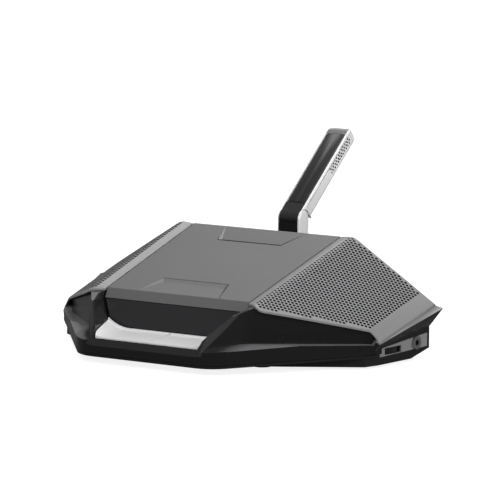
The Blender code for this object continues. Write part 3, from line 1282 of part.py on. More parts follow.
def mic_foot():
    """The yoke: fork and post, arm and plug, with a dark cover on the post and the hinge pin."""
    stand = bpy.data.objects.new("mic_stand_frame", None)
    parts.objects.link(stand)
    stand.parent = root
    stand.location = (0, HINGE_Y, HINGE_Z)
    deep = POST_DEEP / 2
    post = box("mic_foot", (-MIC_HALF, -deep, -POST_LENGTH), (MIC_HALF, deep, 0), SILVER)
    join(post, mic_cylinder("fork_ends", KNUCKLE_RADIUS, MIC_HALF))
    arm_low = -POST_LENGTH
    join(post, box("mic_arm", (-MIC_HALF, REAR_Y + GAP - HINGE_Y, arm_low), (MIC_HALF, 0, arm_low +
                                                                             ARM_HEIGHT)))
    middle = TONGUE_Z - HINGE_Z
    join(post, box("mic_tongue", (-TONGUE_HALF, REAR_Y - TONGUE_LENGTH - HINGE_Y,
                                  middle - TONGUE_HEIGHT / 2),
                   (TONGUE_HALF, -deep, middle + TONGUE_HEIGHT / 2)))
    cut(post, box("fork_slot", (-MIC_INNER, -MIC_DEEP, -KNUCKLE_RADIUS - FORK_CLEARANCE), (MIC_INNER,
                                                                                           MIC_DEEP,
                                                                                           MIC_DEEP)))
    cover_low = arm_low + ARM_HEIGHT + GAP
    cover_high = -KNUCKLE_RADIUS - FOOT_COVER_DROP
    cut(post, box("cover_seat", (-MIC_INNER, -MIC_DEEP, cover_low - GAP), (MIC_INNER, -deep + MIC_COVER,
                                                                           cover_high + GAP)))
    cut(post, mic_cylinder("fork_bore", PIN_RADIUS + PIN_CLEARANCE, MIC_DEEP))
    cover = box("mic_foot_cover", (-MIC_INNER + GAP, -deep, cover_low), (MIC_INNER - GAP, -deep +
                                                                         MIC_COVER - GAP,
                                                                         cover_high), DARK)
    pin = mic_cylinder("mic_hinge_pin", PIN_RADIUS, MIC_HALF - GAP, STEEL)
    for piece in list(parts.objects) + list(cutters.objects):
        if piece.name in MIC_FOOT_PIECES:
            piece.parent = stand
    return post, cover, pin


MIC_FOOT_PIECES = ("mic_foot", "fork_ends", "mic_arm", "mic_tongue", "fork_slot", "cover_seat",
                   "fork_bore",
                   "mic_foot_cover", "mic_hinge_pin")
MIC_HEAD_PIECES = ("mic_shell", "shell_channel", "mic_front_cover", "mic_cap", "mic_knuckle",
                   "knuckle_neck",
                   "knuckle_bore", "mic_board", "mic_capsule_upper", "mic_capsule_lower")


def mic_head():
    """The leaning microphone: silver shell, crowned dark cover, cap, knuckle, board and capsules."""
    tilt = bpy.data.objects.new("mic_tilt_frame", None)
    parts.objects.link(tilt)
    tilt.parent = root
    tilt.location = (0, HINGE_Y, HINGE_Z)
    tilt.rotation_euler = (-MIC_LEAN, 0, 0)
    deep = MIC_DEEP / 2
    top = MIC_LENGTH - MIC_CAP
    shell = box("mic_shell", (-MIC_HALF, -deep, MIC_START), (MIC_HALF, deep, top), SILVER)
    cut(shell, box("shell_channel", (-MIC_INNER, -MIC_DEEP, 0), (MIC_INNER, deep - MIC_BACK_WALL,
                                                                 MIC_LENGTH)))
    cover_half = MIC_INNER - GAP
    ring = [(-cover_half, -deep + MIC_COVER), (-cover_half, -deep), (-cover_half / 2, -deep - MIC_CROWN),
            (cover_half / 2, -deep - MIC_CROWN), (cover_half, -deep), (cover_half, -deep + MIC_COVER)]
    rings = [[(x, y, z) for x, y in ring] for z in (MIC_START, top)]
    loft("mic_front_cover", rings, DARK)
    outline = [(-MIC_HALF, -deep), (MIC_HALF, -deep), (MIC_HALF, deep), (-MIC_HALF, deep)]
    cap_rings = []
    for i in range(CURVE_STEPS + 1):
        turn = math.pi / 2 * i / CURVE_STEPS * CAP_SHARE
        scale = math.cos(turn)
        z = top + GAP + (MIC_CAP - GAP) * math.sin(turn)
        cap_rings.append([(x * scale, y * scale, z) for x, y in outline])
    loft("mic_cap", cap_rings, SILVER)
    knuckle_half = MIC_INNER - GAP
    knuckle = mic_cylinder("mic_knuckle", KNUCKLE_RADIUS, knuckle_half, DARK)
    join(knuckle, box("knuckle_neck", (-knuckle_half, -deep + MIC_COVER + GAP, 0),
                      (knuckle_half, deep - MIC_BACK_WALL - GAP, NECK_LENGTH)))
    cut(knuckle, mic_cylinder("knuckle_bore", PIN_RADIUS + GAP, MIC_DEEP))
    board_y = deep - MIC_BACK_WALL - GAP
    box("mic_board", (-cover_half + GAP, board_y - BOARD_THICK, NECK_LENGTH + GAP), (cover_half - GAP,
                                                                                     board_y,
                                                                                     top - GAP), BOARD)
    for i, place_name in enumerate(("upper", "lower")):
        capsule = turned("mic_capsule_" + place_name, disc(CAPSULE_RADIUS, CAPSULE_DEPTH, 0),
                         ROUND_STEPS, STEEL)
        capsule.rotation_euler = (-math.pi / 2, 0, 0)
        capsule.location = (0, board_y - BOARD_THICK - GAP, top - CAPSULE_SPACING * (i +
                                                                                     CAPSULE_START_SHARE))
    for piece in list(parts.objects) + list(cutters.objects):
        if piece.name in MIC_HEAD_PIECES:
            piece.parent = tilt
    return shell


def mic_reach():
    """How far behind the hinge the leaning microphone's rounded tip comes."""
    deep = MIC_DEEP / 2
    low = MIC_LENGTH - MIC_CAP + GAP
    reaches = []
    for i in range(CURVE_STEPS + 1):
        turn = math.pi / 2 * i / CURVE_STEPS * CAP_SHARE
        tip_z = low + (MIC_CAP - GAP) * math.sin(turn)
        reaches.append(deep * math.cos(turn) * math.cos(MIC_LEAN) + tip_z * math.sin(MIC_LEAN))
    return max(reaches)


root.location = (0, -(BAR_Y + HINGE_Y + mic_reach()) / 2, 0)
upper_housing()
base_pan()
feet()
screws()
top_plate()
grille()
recess_panel()
buttons()
button_switches()
speakers()
side_ports()
main_board()
network_sockets()
mic_socket()
mic_foot()
mic_head()
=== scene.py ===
"""Looks of the conference delegate unit, built round its solids: finishes, soft edges, perforated
grilles, the sunken fields of its plate, the microphone's shells, floor, lamps and camera. Lengths
are in metres, apart from those of the fields and the microphone, which are in millimetres."""

import math

import bmesh
import bpy
from mathutils import Matrix, Vector
from mathutils.geometry import delaunay_2d_cdt

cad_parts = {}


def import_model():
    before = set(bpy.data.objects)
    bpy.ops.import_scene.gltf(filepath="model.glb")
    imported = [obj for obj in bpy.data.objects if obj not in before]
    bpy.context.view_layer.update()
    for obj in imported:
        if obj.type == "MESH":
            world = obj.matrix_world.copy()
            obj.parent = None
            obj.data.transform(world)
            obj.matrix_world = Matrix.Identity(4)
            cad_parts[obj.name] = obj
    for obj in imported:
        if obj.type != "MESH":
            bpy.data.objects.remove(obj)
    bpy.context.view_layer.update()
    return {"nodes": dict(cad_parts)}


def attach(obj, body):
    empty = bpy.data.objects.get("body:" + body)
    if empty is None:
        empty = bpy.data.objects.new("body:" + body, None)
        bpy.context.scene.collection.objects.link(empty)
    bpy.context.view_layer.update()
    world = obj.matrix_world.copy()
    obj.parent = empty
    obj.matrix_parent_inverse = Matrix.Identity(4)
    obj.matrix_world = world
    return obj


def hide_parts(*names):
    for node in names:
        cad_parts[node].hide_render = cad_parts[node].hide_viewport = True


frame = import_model()

MM = 0.001
# Depths are written from the housing's front edge, which lies here in the part's own frame
FRONT_Y = -115.932 * MM


def local(x, y, z):
    """A place written from the housing's front edge, put in the part's own frame."""
    return Vector((x, y + FRONT_Y, z))


# Finishes: the scale of their grain, and how far its heights reach
PLASTIC_GRAIN = 2500
LACQUER_GRAIN = 3500
BROAD_SCALE = 18
GRAIN_DETAIL = 3
GRAIN_DEPTH = 0.1 * MM


def material(name, colour, roughness, metallic=0.0):
    """A new material whose shader has this colour, roughness and metallic value."""
    made = bpy.data.materials.new(name)
    made.use_nodes = True
    shader = made.node_tree.nodes["Principled BSDF"]
    shader.inputs["Base Color"].default_value = (*colour, 1.0)
    shader.inputs["Roughness"].default_value = roughness
    shader.inputs["Metallic"].default_value = metallic
    return made


def grain_group():
    """Fine grain: a roughness value that varies broadly and a height that varies finely."""
    group = bpy.data.node_groups.new("fine_grain", "ShaderNodeTree")
    for name, way in (("Scale", "INPUT"), ("Roughness", "INPUT"), ("Spread", "INPUT"),
                      ("Roughness", "OUTPUT"), ("Height", "OUTPUT")):
        group.interface.new_socket(name, in_out=way, socket_type="NodeSocketFloat")
    nodes = group.nodes
    links = group.links
    inputs = nodes.new("NodeGroupInput")
    outputs = nodes.new("NodeGroupOutput")
    place = nodes.new("ShaderNodeTexCoord")
    fine = nodes.new("ShaderNodeTexNoise")
    fine.inputs["Detail"].default_value = GRAIN_DETAIL
    links.new(place.outputs["Object"], fine.inputs["Vector"])
    links.new(inputs.outputs["Scale"], fine.inputs["Scale"])
    broad = nodes.new("ShaderNodeTexNoise")
    broad.inputs["Scale"].default_value = BROAD_SCALE
    links.new(place.outputs["Object"], broad.inputs["Vector"])
    centred = nodes.new("ShaderNodeMath")
    centred.operation = "SUBTRACT"
    centred.inputs[1].default_value = 0.5
    links.new(broad.outputs["Fac"], centred.inputs[0])
    spread = nodes.new("ShaderNodeMath")
    spread.operation = "MULTIPLY_ADD"
    links.new(centred.outputs[0], spread.inputs[0])
    links.new(inputs.outputs["Spread"], spread.inputs[1])
    links.new(inputs.outputs["Roughness"], spread.inputs[2])
    links.new(spread.outputs[0], outputs.inputs["Roughness"])
    links.new(fine.outputs["Fac"], outputs.inputs["Height"])
    return group


GRAIN = grain_group()


def grained(name, colour, roughness, metallic=0.0, scale=PLASTIC_GRAIN, spread=0.08, bump=0.03):
    """A lacquer or moulded plastic with fine grain in its gloss and its surface."""
    made = material(name, colour, roughness, metallic)
    tree = made.node_tree
    shader = tree.nodes["Principled BSDF"]
    grain = tree.nodes.new("ShaderNodeGroup")
    grain.node_tree = GRAIN
    grain.inputs["Scale"].default_value = scale
    grain.inputs["Roughness"].default_value = roughness
    grain.inputs["Spread"].default_value = spread
    raised = tree.nodes.new("ShaderNodeBump")
    raised.inputs["Strength"].default_value = bump
    raised.inputs["Distance"].default_value = GRAIN_DEPTH
    tree.links.new(grain.outputs["Roughness"], shader.inputs["Roughness"])
    tree.links.new(grain.outputs["Height"], raised.inputs["Height"])
    tree.links.new(raised.outputs["Normal"], shader.inputs["Normal"])
    return made


def span(tree, source, limits, start, end):
    """A value that runs from start to end while the source runs between its two limits."""
    ramp = tree.nodes.new("ShaderNodeMapRange")
    names = ("From Min", "From Max", "To Min", "To Max")
    for name, value in zip(names, (*limits, start, end)):
        ramp.inputs[name].default_value = value
    tree.links.new(source, ramp.inputs["Value"])
    return ramp.outputs[0]


def combined(tree, operation, first, second):
    """One mask from two."""
    joint = tree.nodes.new("ShaderNodeMath")
    joint.operation = operation
    tree.links.new(first, joint.inputs[0])
    tree.links.new(second, joint.inputs[1])
    return joint.outputs[0]


# Where a painted highlight lightens the housing's colour, each as the two ends of a soft step: how far a face
# looks up, how low a ledge lies, how far out the ledges start, and how far out the shoulders start
FACING_UP = (0.4, 0.62)
LEDGE_TOP = (17 * MM, 19 * MM)
LEDGE_START = (50 * MM, 62 * MM)
SHOULDER_START = (115.5 * MM, 117 * MM)


def painted_highlight_faces(made, base, highlight_colour):
    """A painted highlight: a lighter base colour on the wings' low ledges and on the shoulders under their
    seams, where they face up.
    """
    tree = made.node_tree
    surface = tree.nodes.new("ShaderNodeNewGeometry")
    place = tree.nodes.new("ShaderNodeSeparateXYZ")
    facing = tree.nodes.new("ShaderNodeSeparateXYZ")
    tree.links.new(surface.outputs["Position"], place.inputs[0])
    tree.links.new(surface.outputs["Normal"], facing.inputs[0])
    outward = tree.nodes.new("ShaderNodeMath")
    outward.operation = "ABSOLUTE"
    tree.links.new(place.outputs["X"], outward.inputs[0])
    upward = span(tree, facing.outputs["Z"], FACING_UP, 0, 1)
    low = span(tree, place.outputs["Z"], LEDGE_TOP, 1, 0)
    aside = span(tree, outward.outputs[0], LEDGE_START, 0, 1)
    past_seam = span(tree, outward.outputs[0], SHOULDER_START, 0, 1)
    # Mask of the painted highlight: low upward-facing ledges out on the wings, and upward-facing shoulders
    ledge = combined(tree, "MULTIPLY", combined(tree, "MULTIPLY", upward, low), aside)
    shoulder = combined(tree, "MULTIPLY", upward, past_seam)
    mask = combined(tree, "MAXIMUM", ledge, shoulder)
    mix = tree.nodes.new("ShaderNodeMix")
    mix.data_type = "RGBA"
    tree.links.new(mask, mix.inputs["Factor"])
    colours = [socket for socket in mix.inputs if socket.type == "RGBA"]
    colours[0].default_value = (*base, 1)
    colours[1].default_value = (*highlight_colour, 1)
    result = [socket for socket in mix.outputs if socket.type == "RGBA"][0]
    tree.links.new(result, tree.nodes["Principled BSDF"].inputs["Base Color"])


HOUSING_COLOUR = (0.007, 0.007, 0.0073)
# Lighter colour painted on the housing's ledges and shoulders as a highlight
PAINTED_HIGHLIGHT_COLOUR = (0.19, 0.19, 0.195)
HOUSING = grained("dark_housing_satin_painted_highlight", HOUSING_COLOUR, 0.26)
painted_highlight_faces(HOUSING, HOUSING_COLOUR, PAINTED_HIGHLIGHT_COLOUR)
BASE = grained("dark_base_satin", (0.008, 0.008, 0.0085), 0.38)
PLATE = grained("grey_plate_lacquer", (0.13, 0.13, 0.133), 0.5, scale=LACQUER_GRAIN)
# Paler grey than the plate, painted on the sunken fields' slopes as a highlight
PAINTED_FIELD_HIGHLIGHT = grained("field_slope_painted_highlight", (0.2, 0.2, 0.205), 0.4, scale=LACQUER_GRAIN)
MESH_LACQUER = grained("grey_grille_lacquer", (0.3, 0.3, 0.305), 0.4, metallic=0.2, scale=LACQUER_GRAIN)
PANEL = grained("dark_gloss_panel", (0.022, 0.022, 0.024), 0.12, scale=900, spread=0.03, bump=0.01)
BUTTON = grained("light_button_plastic", (0.9, 0.9, 0.905), 0.3)
SILVER = grained("silver_microphone_lacquer", (0.82, 0.82, 0.83), 0.32, metallic=0.2, scale=LACQUER_GRAIN)
MIC_DARK = grained("dark_microphone_cover", (0.014, 0.014, 0.015), 0.28)
CAP_GREY = grained("grey_cap_lacquer", (0.2, 0.2, 0.205), 0.4, scale=LACQUER_GRAIN)
PORT = grained("grey_port_panel", (0.3, 0.3, 0.305), 0.5)
STEEL = grained("plain_steel", (0.5, 0.5, 0.5), 0.3, metallic=1.0)
RUBBER = grained("black_rubber", (0.02, 0.02, 0.02), 0.75, scale=1500, spread=0.1, bump=0.2)
BOARD = grained("green_board", (0.02, 0.12, 0.05), 0.5)
# Black of the speakers' cones, also used as painted shade in the grilles' holes, the microphone's sound holes
# and its side grooves
BLACK_CONE_AND_HOLE_SHADE = grained("black_cone_and_painted_hole_shade", (0.006, 0.006, 0.006), 0.9)
BLACK_CONE_AND_HOLE_SHADE.node_tree.nodes["Principled BSDF"].inputs["Specular IOR Level"].default_value = 0.1

# Finish of each node that stands alone and of each pair; what neither names is plain steel
NODE_FINISH = {
    "upper_housing": HOUSING, "base_pan": BASE, "mic_socket": BASE,
    "top_plate": PLATE, "recess_panel": PANEL,
    "mic_foot": SILVER, "mic_shell": SILVER, "mic_cap": SILVER,
    "mic_foot_cover": MIC_DARK, "mic_front_cover": MIC_DARK, "mic_knuckle": MIC_DARK,
    "main_board": BOARD, "button_board": BOARD, "mic_board": BOARD,
}
PAIR_FINISH = {
    "mic_button": BUTTON, "button_switch": BASE, "grille": MESH_LACQUER, "speaker": BLACK_CONE_AND_HOLE_SHADE,
    "port_panel": PORT, "volume_wheel": BASE, "network_socket": BASE,
    "foot_front": RUBBER, "foot_rear": RUBBER,
}


def dress():
    """Gives every node of the frame its finish."""
    finishes = dict(NODE_FINISH)
    for name, finish in PAIR_FINISH.items():
        finishes[name + "_left"] = finish
        finishes[name + "_right"] = finish
    for node, piece in frame["nodes"].items():
        for slot in piece.material_slots:
            slot.material = finishes.get(node, STEEL)


dress()

# Soft edges: the bevel's width on each node, and whether level faces are joined first
SOFT_EDGES = {
    "top_plate": (0.45 * MM, True), "recess_panel": (0.3 * MM, True),
    "upper_housing": (0.4 * MM, False), "base_pan": (0.3 * MM, False),
}
WELD_DISTANCE = 0.02 * MM
LEVEL_ANGLE = math.radians(1.5)
EDGE_ANGLE = math.radians(28)
EDGE_SEGMENTS = 3


def soften(node, width, joined):
    """Rounds a node's edges by a small bevel, with its level faces joined first if asked."""
    piece = frame["nodes"][node]
    weld = piece.modifiers.new("weld", "WELD")
    weld.merge_threshold = WELD_DISTANCE
    if joined:
        flat = piece.modifiers.new("flat", "DECIMATE")
        flat.decimate_type = "DISSOLVE"
        flat.angle_limit = LEVEL_ANGLE
    bevel = piece.modifiers.new("soft edges", "BEVEL")
    bevel.width = width
    bevel.segments = EDGE_SEGMENTS
    bevel.limit_method = "ANGLE"
    bevel.angle_limit = EDGE_ANGLE
    bevel.harden_normals = True


for node, (width, joined) in SOFT_EDGES.items():
    soften(node, width, joined)


def placed(name, mesh, body):
    """A new piece that rides on a body."""
    piece = bpy.data.objects.new(name, mesh)
    bpy.context.scene.collection.objects.link(piece)
    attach(piece, body)
    return piece


def smoothed(shape, name, finish, sharp):
    """A smooth mesh with one finish, sharp where its faces meet at more than some degrees."""
    for face in shape.faces:
        face.smooth = True
    mesh = bpy.data.meshes.new(name)
    shape.to_mesh(mesh)
    shape.free()
    mesh.set_sharp_from_angle(angle=math.radians(sharp))
    mesh.materials.append(finish)
    return mesh


# Round holes, in the grilles and in the microphone's sides, are eight-sided
HOLE_CORNERS = 8
HOLE_TURNS = [2 * math.pi * i / HOLE_CORNERS for i in range(HOLE_CORNERS)]


def pierced_plan(outlines, holes, free_points, tolerance):
    """A flat plan cut into triangles: its points, the triangles that no hole takes, and for each
    point the number of the outline or hole that it lies on, or -1."""
    loops = outlines + holes
    points = [point for loop in loops for point in loop] + free_points
    edges = []
    owners = []
    for number, loop in enumerate(loops):
        start = len(owners)
        edges += [(start + i, start + (i + 1) % len(loop)) for i in range(len(loop))]
        owners += [number] * len(loop)
    owners += [-1] * len(free_points)
    made = delaunay_2d_cdt(points, edges, [], 0, tolerance)
    flat, triangles, origins = made[0], made[2], made[3]
    owner = [owners[origin[0]] if origin else -1 for origin in origins]
    kept = []
    for triangle in triangles:
        around = {owner[i] for i in triangle}
        if len(around) > 1 or min(around) < len(outlines):
            kept.append(triangle)
    return flat, kept, owner


def cup(shape, rim, floor, flipped=False):
    """Walls and floor of a small hollow behind a hole, facing its open side."""
    top = [shape.verts.new(point) for point in rim]
    low = [shape.verts.new(point) for point in floor]
    for i in range(len(rim)):
        j = (i + 1) % len(rim)
        wall = (top[i], top[j], low[j], low[i])
        shape.faces.new(wall[::-1] if flipped else wall)
    shape.faces.new(low[::-1] if flipped else low)


# Grilles: lines of the wing's skin in the right half, from the front to the rear
PLATE_LINE = (local(52.9 * MM, 36.6 * MM, 41.6 * MM), local(55.6 * MM, 137.9 * MM, 71.1 * MM))
CREST_LINE = (local(61 * MM, 30.3 * MM, 41.2 * MM), local(65 * MM, 137.9 * MM, 72 * MM))
BEND_LINE = (local(112.9 * MM, 81.7 * MM, 25.2 * MM), local(115.6 * MM, 137.9 * MM, 40.2 * MM))
SEAM_LINE = (local(118.3 * MM, 82 * MM, 17.4 * MM), local(124.2 * MM, 137.9 * MM, 34.4 * MM))
CREST_SOFTNESS = 2 * MM
BEND_SOFTNESS = 0.5 * MM

# Plan of the right sheet: its corner beside the plate, the two ends of its edge over the scoop, how
# far it keeps from the plate's rear edge and side, and how far its tip reaches before the seam line
FRONT_CORNER = local(53.25 * MM, 34.9 * MM, 0).xy
WALL_START = local(63.6 * MM, 28.2 * MM, 0).xy
WALL_END = local(114.14 * MM, 80.42 * MM, 0).xy
REAR_GAP = 0.3 * MM
PLATE_GAP = 0.3 * MM
TIP_REACH = 0.4 * MM
CORNER_RADII = (1 * MM, 4 * MM, 3 * MM, 1.6 * MM, 0.5 * MM, 0.5 * MM)
CORNER_STEPS = 7
EDGE_SPACING = 2.4 * MM
EDGE_ROUND = 0.45 * MM
EDGE_FALL = 0.22 * MM
FLANGE = 1.2 * MM
SHEET_THICK = 0.9 * MM
PLAN_TOLERANCE = MM / 10000

# Rows of holes run along the crest; the margins are the least distances of a hole's middle from
# the plate, the bend, the rear edge, the scoop's wall and the front edge
HOLE_RADIUS = 0.98 * MM
ROW_PITCH = 2.08 * MM
HOLE_PITCH = 2.8 * MM
HOLE_ROWS = range(-1, 30)
HOLE_COLUMNS = range(-28, 46)
FIRST_ROW_SHARE = 0.35
HOLE_MARGINS = (1.5 * MM, 0.2 * MM, 2.2 * MM, 1.6 * MM, 2.4 * MM)

# Points that keep the sheet's bend and its side strip crisp
BEND_START = 1.2 * MM
BEND_STEP = 2 * MM
BEND_ASIDE = (0.3 * MM, 0.9 * MM)


def at_depth(line, y):
    """The point of a straight line at one depth."""
    share = (y - line[0].y) / (line[1].y - line[0].y)
    return line[0].lerp(line[1], share)


def soft_lower(first, second, softness):
    """The lower of two heights, with the corner between them rounded."""
    share = min(max(0.5 + (second - first) / softness / 2, 0), 1)
    return second + (first - second) * share - softness * share * (1 - share)


def skin_height(x, y):
    """Height of the wing's skin: level strip, rounded crest, long slope, bend and side strip."""
    plate, crest, bend, seam = [at_depth(line, y) for line in (PLATE_LINE, CREST_LINE, BEND_LINE, SEAM_LINE)]
    if y < SEAM_LINE[0].y:
        seam = bend + SEAM_LINE[0] - BEND_LINE[0]
    heights = []
    for inner, outer in ((plate, crest), (crest, bend), (bend, seam)):
        heights.append(inner.z + (x - inner.x) * (outer.z - inner.z) / (outer.x - inner.x))
    top = soft_lower(heights[0], heights[1], CREST_SOFTNESS)
    return soft_lower(top, heights[2], BEND_SOFTNESS)


def on_skin(point, drop=0.0):
    """The place on the wing's skin, or below it, over a point of the plan."""
    return Vector((point.x, point.y, skin_height(point.x, point.y) - drop))


def eased_corners(corners, radii):
    """A closed plan outline with each corner rounded by its own radius."""
    points = []
    for i, (corner, radius) in enumerate(zip(corners, radii)):
        before = corner + (corners[i - 1] - corner).normalized() * radius
        after = corner + (corners[(i + 1) % len(corners)] - corner).normalized() * radius
        for step in range(CORNER_STEPS + 1):
            share = step / CORNER_STEPS
            points.append(before.lerp(corner, share).lerp(corner.lerp(after, share), share))
    return points


def divided(points, spacing):
    """The same closed outline with extra points along its long sides."""
    result = []
    for start, end in zip(points, points[1:] + points[:1]):
        count = max(1, round((end - start).length / spacing))
        result += [start.lerp(end, i / count) for i in range(count)]
    return result


def moved_inside(points, distance):
    """An outline that runs counter-clockwise, set in by one distance."""
    result = []
    for i, point in enumerate(points):
        along = (points[(i + 1) % len(points)] - points[i - 1]).normalized()
        result.append(point + Vector((-along.y, along.x)) * distance)
    return result


def inside(point, outline):
    """Whether a point of the plan lies within a closed outline."""
    within = False
    for start, end in zip(outline, outline[1:] + outline[:1]):
        if (start.y > point.y) != (end.y > point.y):
            cross_x = start.x + (point.y - start.y) / (end.y - start.y) * (end.x - start.x)
            if point.x < cross_x:
                within = not within
    return within


def sheet_outline():
    """Plan outline of the right sheet, counter-clockwise from the plate's front corner."""
    rear_y = PLATE_LINE[1].y - REAR_GAP
    rear_plate = at_depth(PLATE_LINE, rear_y)
    rear_seam = at_depth(SEAM_LINE, rear_y)
    corners = [FRONT_CORNER, WALL_START, WALL_END,
               Vector((SEAM_LINE[0].x, SEAM_LINE[0].y - TIP_REACH)),
               Vector((rear_seam.x, rear_y)), Vector((rear_plate.x + PLATE_GAP, rear_y))]
    return divided(eased_corners(corners, CORNER_RADII), EDGE_SPACING)


def hole_rings():
    """Rims of the holes, in rows that run along the crest, each row set half a pitch on."""
    crest_start, crest_end = CREST_LINE
    along = (crest_end - crest_start).normalized()
    down = BEND_LINE[0] - at_depth(CREST_LINE, BEND_LINE[0].y)
    across = (down - along * down.dot(along)).normalized()
    inward = Vector((1, -along.x / along.y, 0))
    wall = (WALL_END - WALL_START).normalized()
    wall_out = Vector((wall.y, -wall.x))
    front_edge = (WALL_START - FRONT_CORNER).normalized()
    front_in = Vector((-front_edge.y, front_edge.x))

    def on_plan(u, v):
        return (crest_start + along * v + (across if u > 0 else inward) * u).xy

    rings = []
    for row in HOLE_ROWS:
        for column in HOLE_COLUMNS:
            u = (row + FIRST_ROW_SHARE) * ROW_PITCH
            v = (column + (row % 2) / 2) * HOLE_PITCH
            middle = on_plan(u, v)
            distances = (middle.x - at_depth(PLATE_LINE, middle.y).x,
                         at_depth(BEND_LINE, middle.y).x - middle.x,
                         PLATE_LINE[1].y - middle.y,
                         (WALL_START - middle).dot(wall_out),
                         (middle - WALL_START).dot(front_in))
            if all(distance >= margin for distance, margin in zip(distances, HOLE_MARGINS)):
                rings.append([on_plan(u + HOLE_RADIUS * math.cos(turn), v + HOLE_RADIUS * math.sin(turn))
                              for turn in HOLE_TURNS])
    return rings


def bend_points():
    """Plan points just past the bend and in the middle of the side strip."""
    points = []
    y = BEND_LINE[0].y + BEND_START
    while y < BEND_LINE[1].y - BEND_STEP:
        bend = at_depth(BEND_LINE, y)
        seam = at_depth(SEAM_LINE, max(y, SEAM_LINE[0].y))
        points += [Vector((bend.x + aside, y)) for aside in BEND_ASIDE]
        points.append(Vector(((bend.x + seam.x) / 2, y)))
        y += BEND_STEP
    return points


def add_flange(shape, inner):
    """A short upright edge along the sheet's rim."""
    border = [edge for edge in shape.edges if edge.is_boundary and not inside(edge.verts[0].co.xy, inner)]
    rims = {}
    for edge in border:
        for vert in edge.verts:
            if vert not in rims:
                rims[vert] = shape.verts.new(vert.co - Vector((0, 0, FLANGE)))
    for edge in border:
        first, second = edge.verts
        order = list(edge.link_faces[0].verts)
        if order.index(second) - order.index(first) not in (1, -2):
            first, second = second, first
        shape.faces.new([second, first, rims[first], rims[second]])


def perforated_sheet(rings):
    """The right grille: bent sheet with round holes, a rounded edge and a short flange."""
    outer = sheet_outline()
    inner = moved_inside(outer, EDGE_ROUND)
    flat, triangles, owner = pierced_plan([outer, inner], rings, bend_points(), PLAN_TOLERANCE)
    shape = bmesh.new()
    verts = []
    for point, loop in zip(flat, owner):
        verts.append(shape.verts.new(on_skin(point, EDGE_FALL if loop == 0 else 0)))
    for triangle in triangles:
        centre = sum((flat[i] for i in triangle), Vector((0, 0))) / 3
        if inside(centre, outer):
            shape.faces.new([verts[i] for i in triangle])
    shape.normal_update()
    add_flange(shape, inner)
    return shape


def hole_cups(rings):
    """Dark cups behind the right grille's holes: painted shade that stands in for the shadow in the holes."""
    shape = bmesh.new()
    for ring in rings:
        cup(shape, [on_skin(point) for point in ring], [on_skin(point, SHEET_THICK) for point in ring])
    return shape


def grilles():
    """Both perforated grilles and the dark cups of painted shade behind them, the left ones mirrored from the
    right ones.
    """
    rings = hole_rings()
    sheet = smoothed(perforated_sheet(rings), "perforated_grille", MESH_LACQUER, sharp=40)
    # Painted shade: black cups that darken the grille's holes
    cups = smoothed(hole_cups(rings), "grille_hole_shade_cups", BLACK_CONE_AND_HOLE_SHADE, sharp=40)
    for mesh, slot in ((sheet, "grille_lacquer"), (cups, "cone")):
        mirrored = mesh.copy()
        mirrored.transform(Matrix.Scale(-1, 4, (1, 0, 0)))
        mirrored.flip_normals()
        for side, half in (("right", mesh), ("left", mirrored)):
            piece = placed(mesh.name + "_" + side, half, "unit")
            if slot == "grille_lacquer":
                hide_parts("grille_" + side)


grilles()

# Sunken fields of the top plate: how far under it their slopes start and end, and the half width and
# place in millimetres along the plate's slope of the open end and of the inner end
PLATE_FRONT = Vector((0, *PLATE_LINE[0].yz))
PLATE_BACK = Vector((0, *PLATE_LINE[1].yz))
FIELD_START = 0.03 * MM
FIELD_DEPTH = 1.24 * MM
FRONT_FIELD = ((29.8, 0.3), (24, 20.5))
FRONT_FLOOR = ((27.6, 0.3), (22.2, 17.8))
REAR_FIELD = ((30.5, 105.2), (23.6, 84.5))
REAR_FLOOR = ((28.3, 105.2), (21.8, 86.6))


def field_slopes(name, edge, floor):
    """Slopes that lead from a field's edge down to its floor, in a paler grey than the plate as a painted
    highlight.
    """
    along = (PLATE_BACK - PLATE_FRONT).normalized()
    down = along.cross(Vector((1, 0, 0)))
    shape = bmesh.new()
    rows = []
    for (open_end, inner_end), depth in ((edge, FIELD_START), (floor, FIELD_DEPTH)):
        row = []
        for side, (half, place) in ((-1, open_end), (-1, inner_end), (1, inner_end), (1, open_end)):
            across = Vector((side * half * MM, 0, 0))
            row.append(shape.verts.new(PLATE_FRONT + across + along * place * MM + down * depth))
        rows.append(row)
    for i in range(len(rows[0]) - 1):
        shape.faces.new((rows[0][i], rows[0][i + 1], rows[1][i + 1], rows[1][i]))
    mesh = bpy.data.meshes.new(name)
    shape.to_mesh(mesh)
    shape.free()
    mesh.materials.append(PAINTED_FIELD_HIGHLIGHT)
    placed(name, mesh, "unit")


field_slopes("front_field_slopes", FRONT_FIELD, FRONT_FLOOR)
field_slopes("rear_field_slopes", REAR_FIELD, REAR_FLOOR)

# Microphone. The head's frame has its origin on the hinge, Z along the head and -Y to its dark front,
# and the stand's frame is upright. The hinge's place is in metres and all other lengths here are in
# millimetres, which a piece leaves when it is finished
HINGE = Vector((0, 53.568 * MM, 74.8 * MM))
LEAN = math.radians(50.4)
HEAD_FRAME = Matrix.Translation(HINGE) @ Matrix.Rotation(-LEAN, 4, "X")
STAND_FRAME = Matrix.Translation(HINGE)
HEAD_HALF = 8.5
HEAD_DEPTH = 6.15
HEAD_START = 7
HEAD_END = 80
DOME_START = HEAD_END - HEAD_DEPTH
DOME_STEPS = 14
# The last ring stays this far from the very top, so that it doesn't close to a line
TOP_GAP = 0.02
CAP_START = 72.1
CAP_SEAM = 0.12
CAP_CORNER = 5.2
CAP_CORNER_WIDTH = 4.8
# Where the front between the rims lies under the dark panel, and above it under the cap
CHANNEL_FLOOR = -5.2
CAP_FLOOR = -5.95
HOLES_START = 41
HOLES_END = 73
HOLES_FRONT = -3.75
HOLES_BACK = 1.5

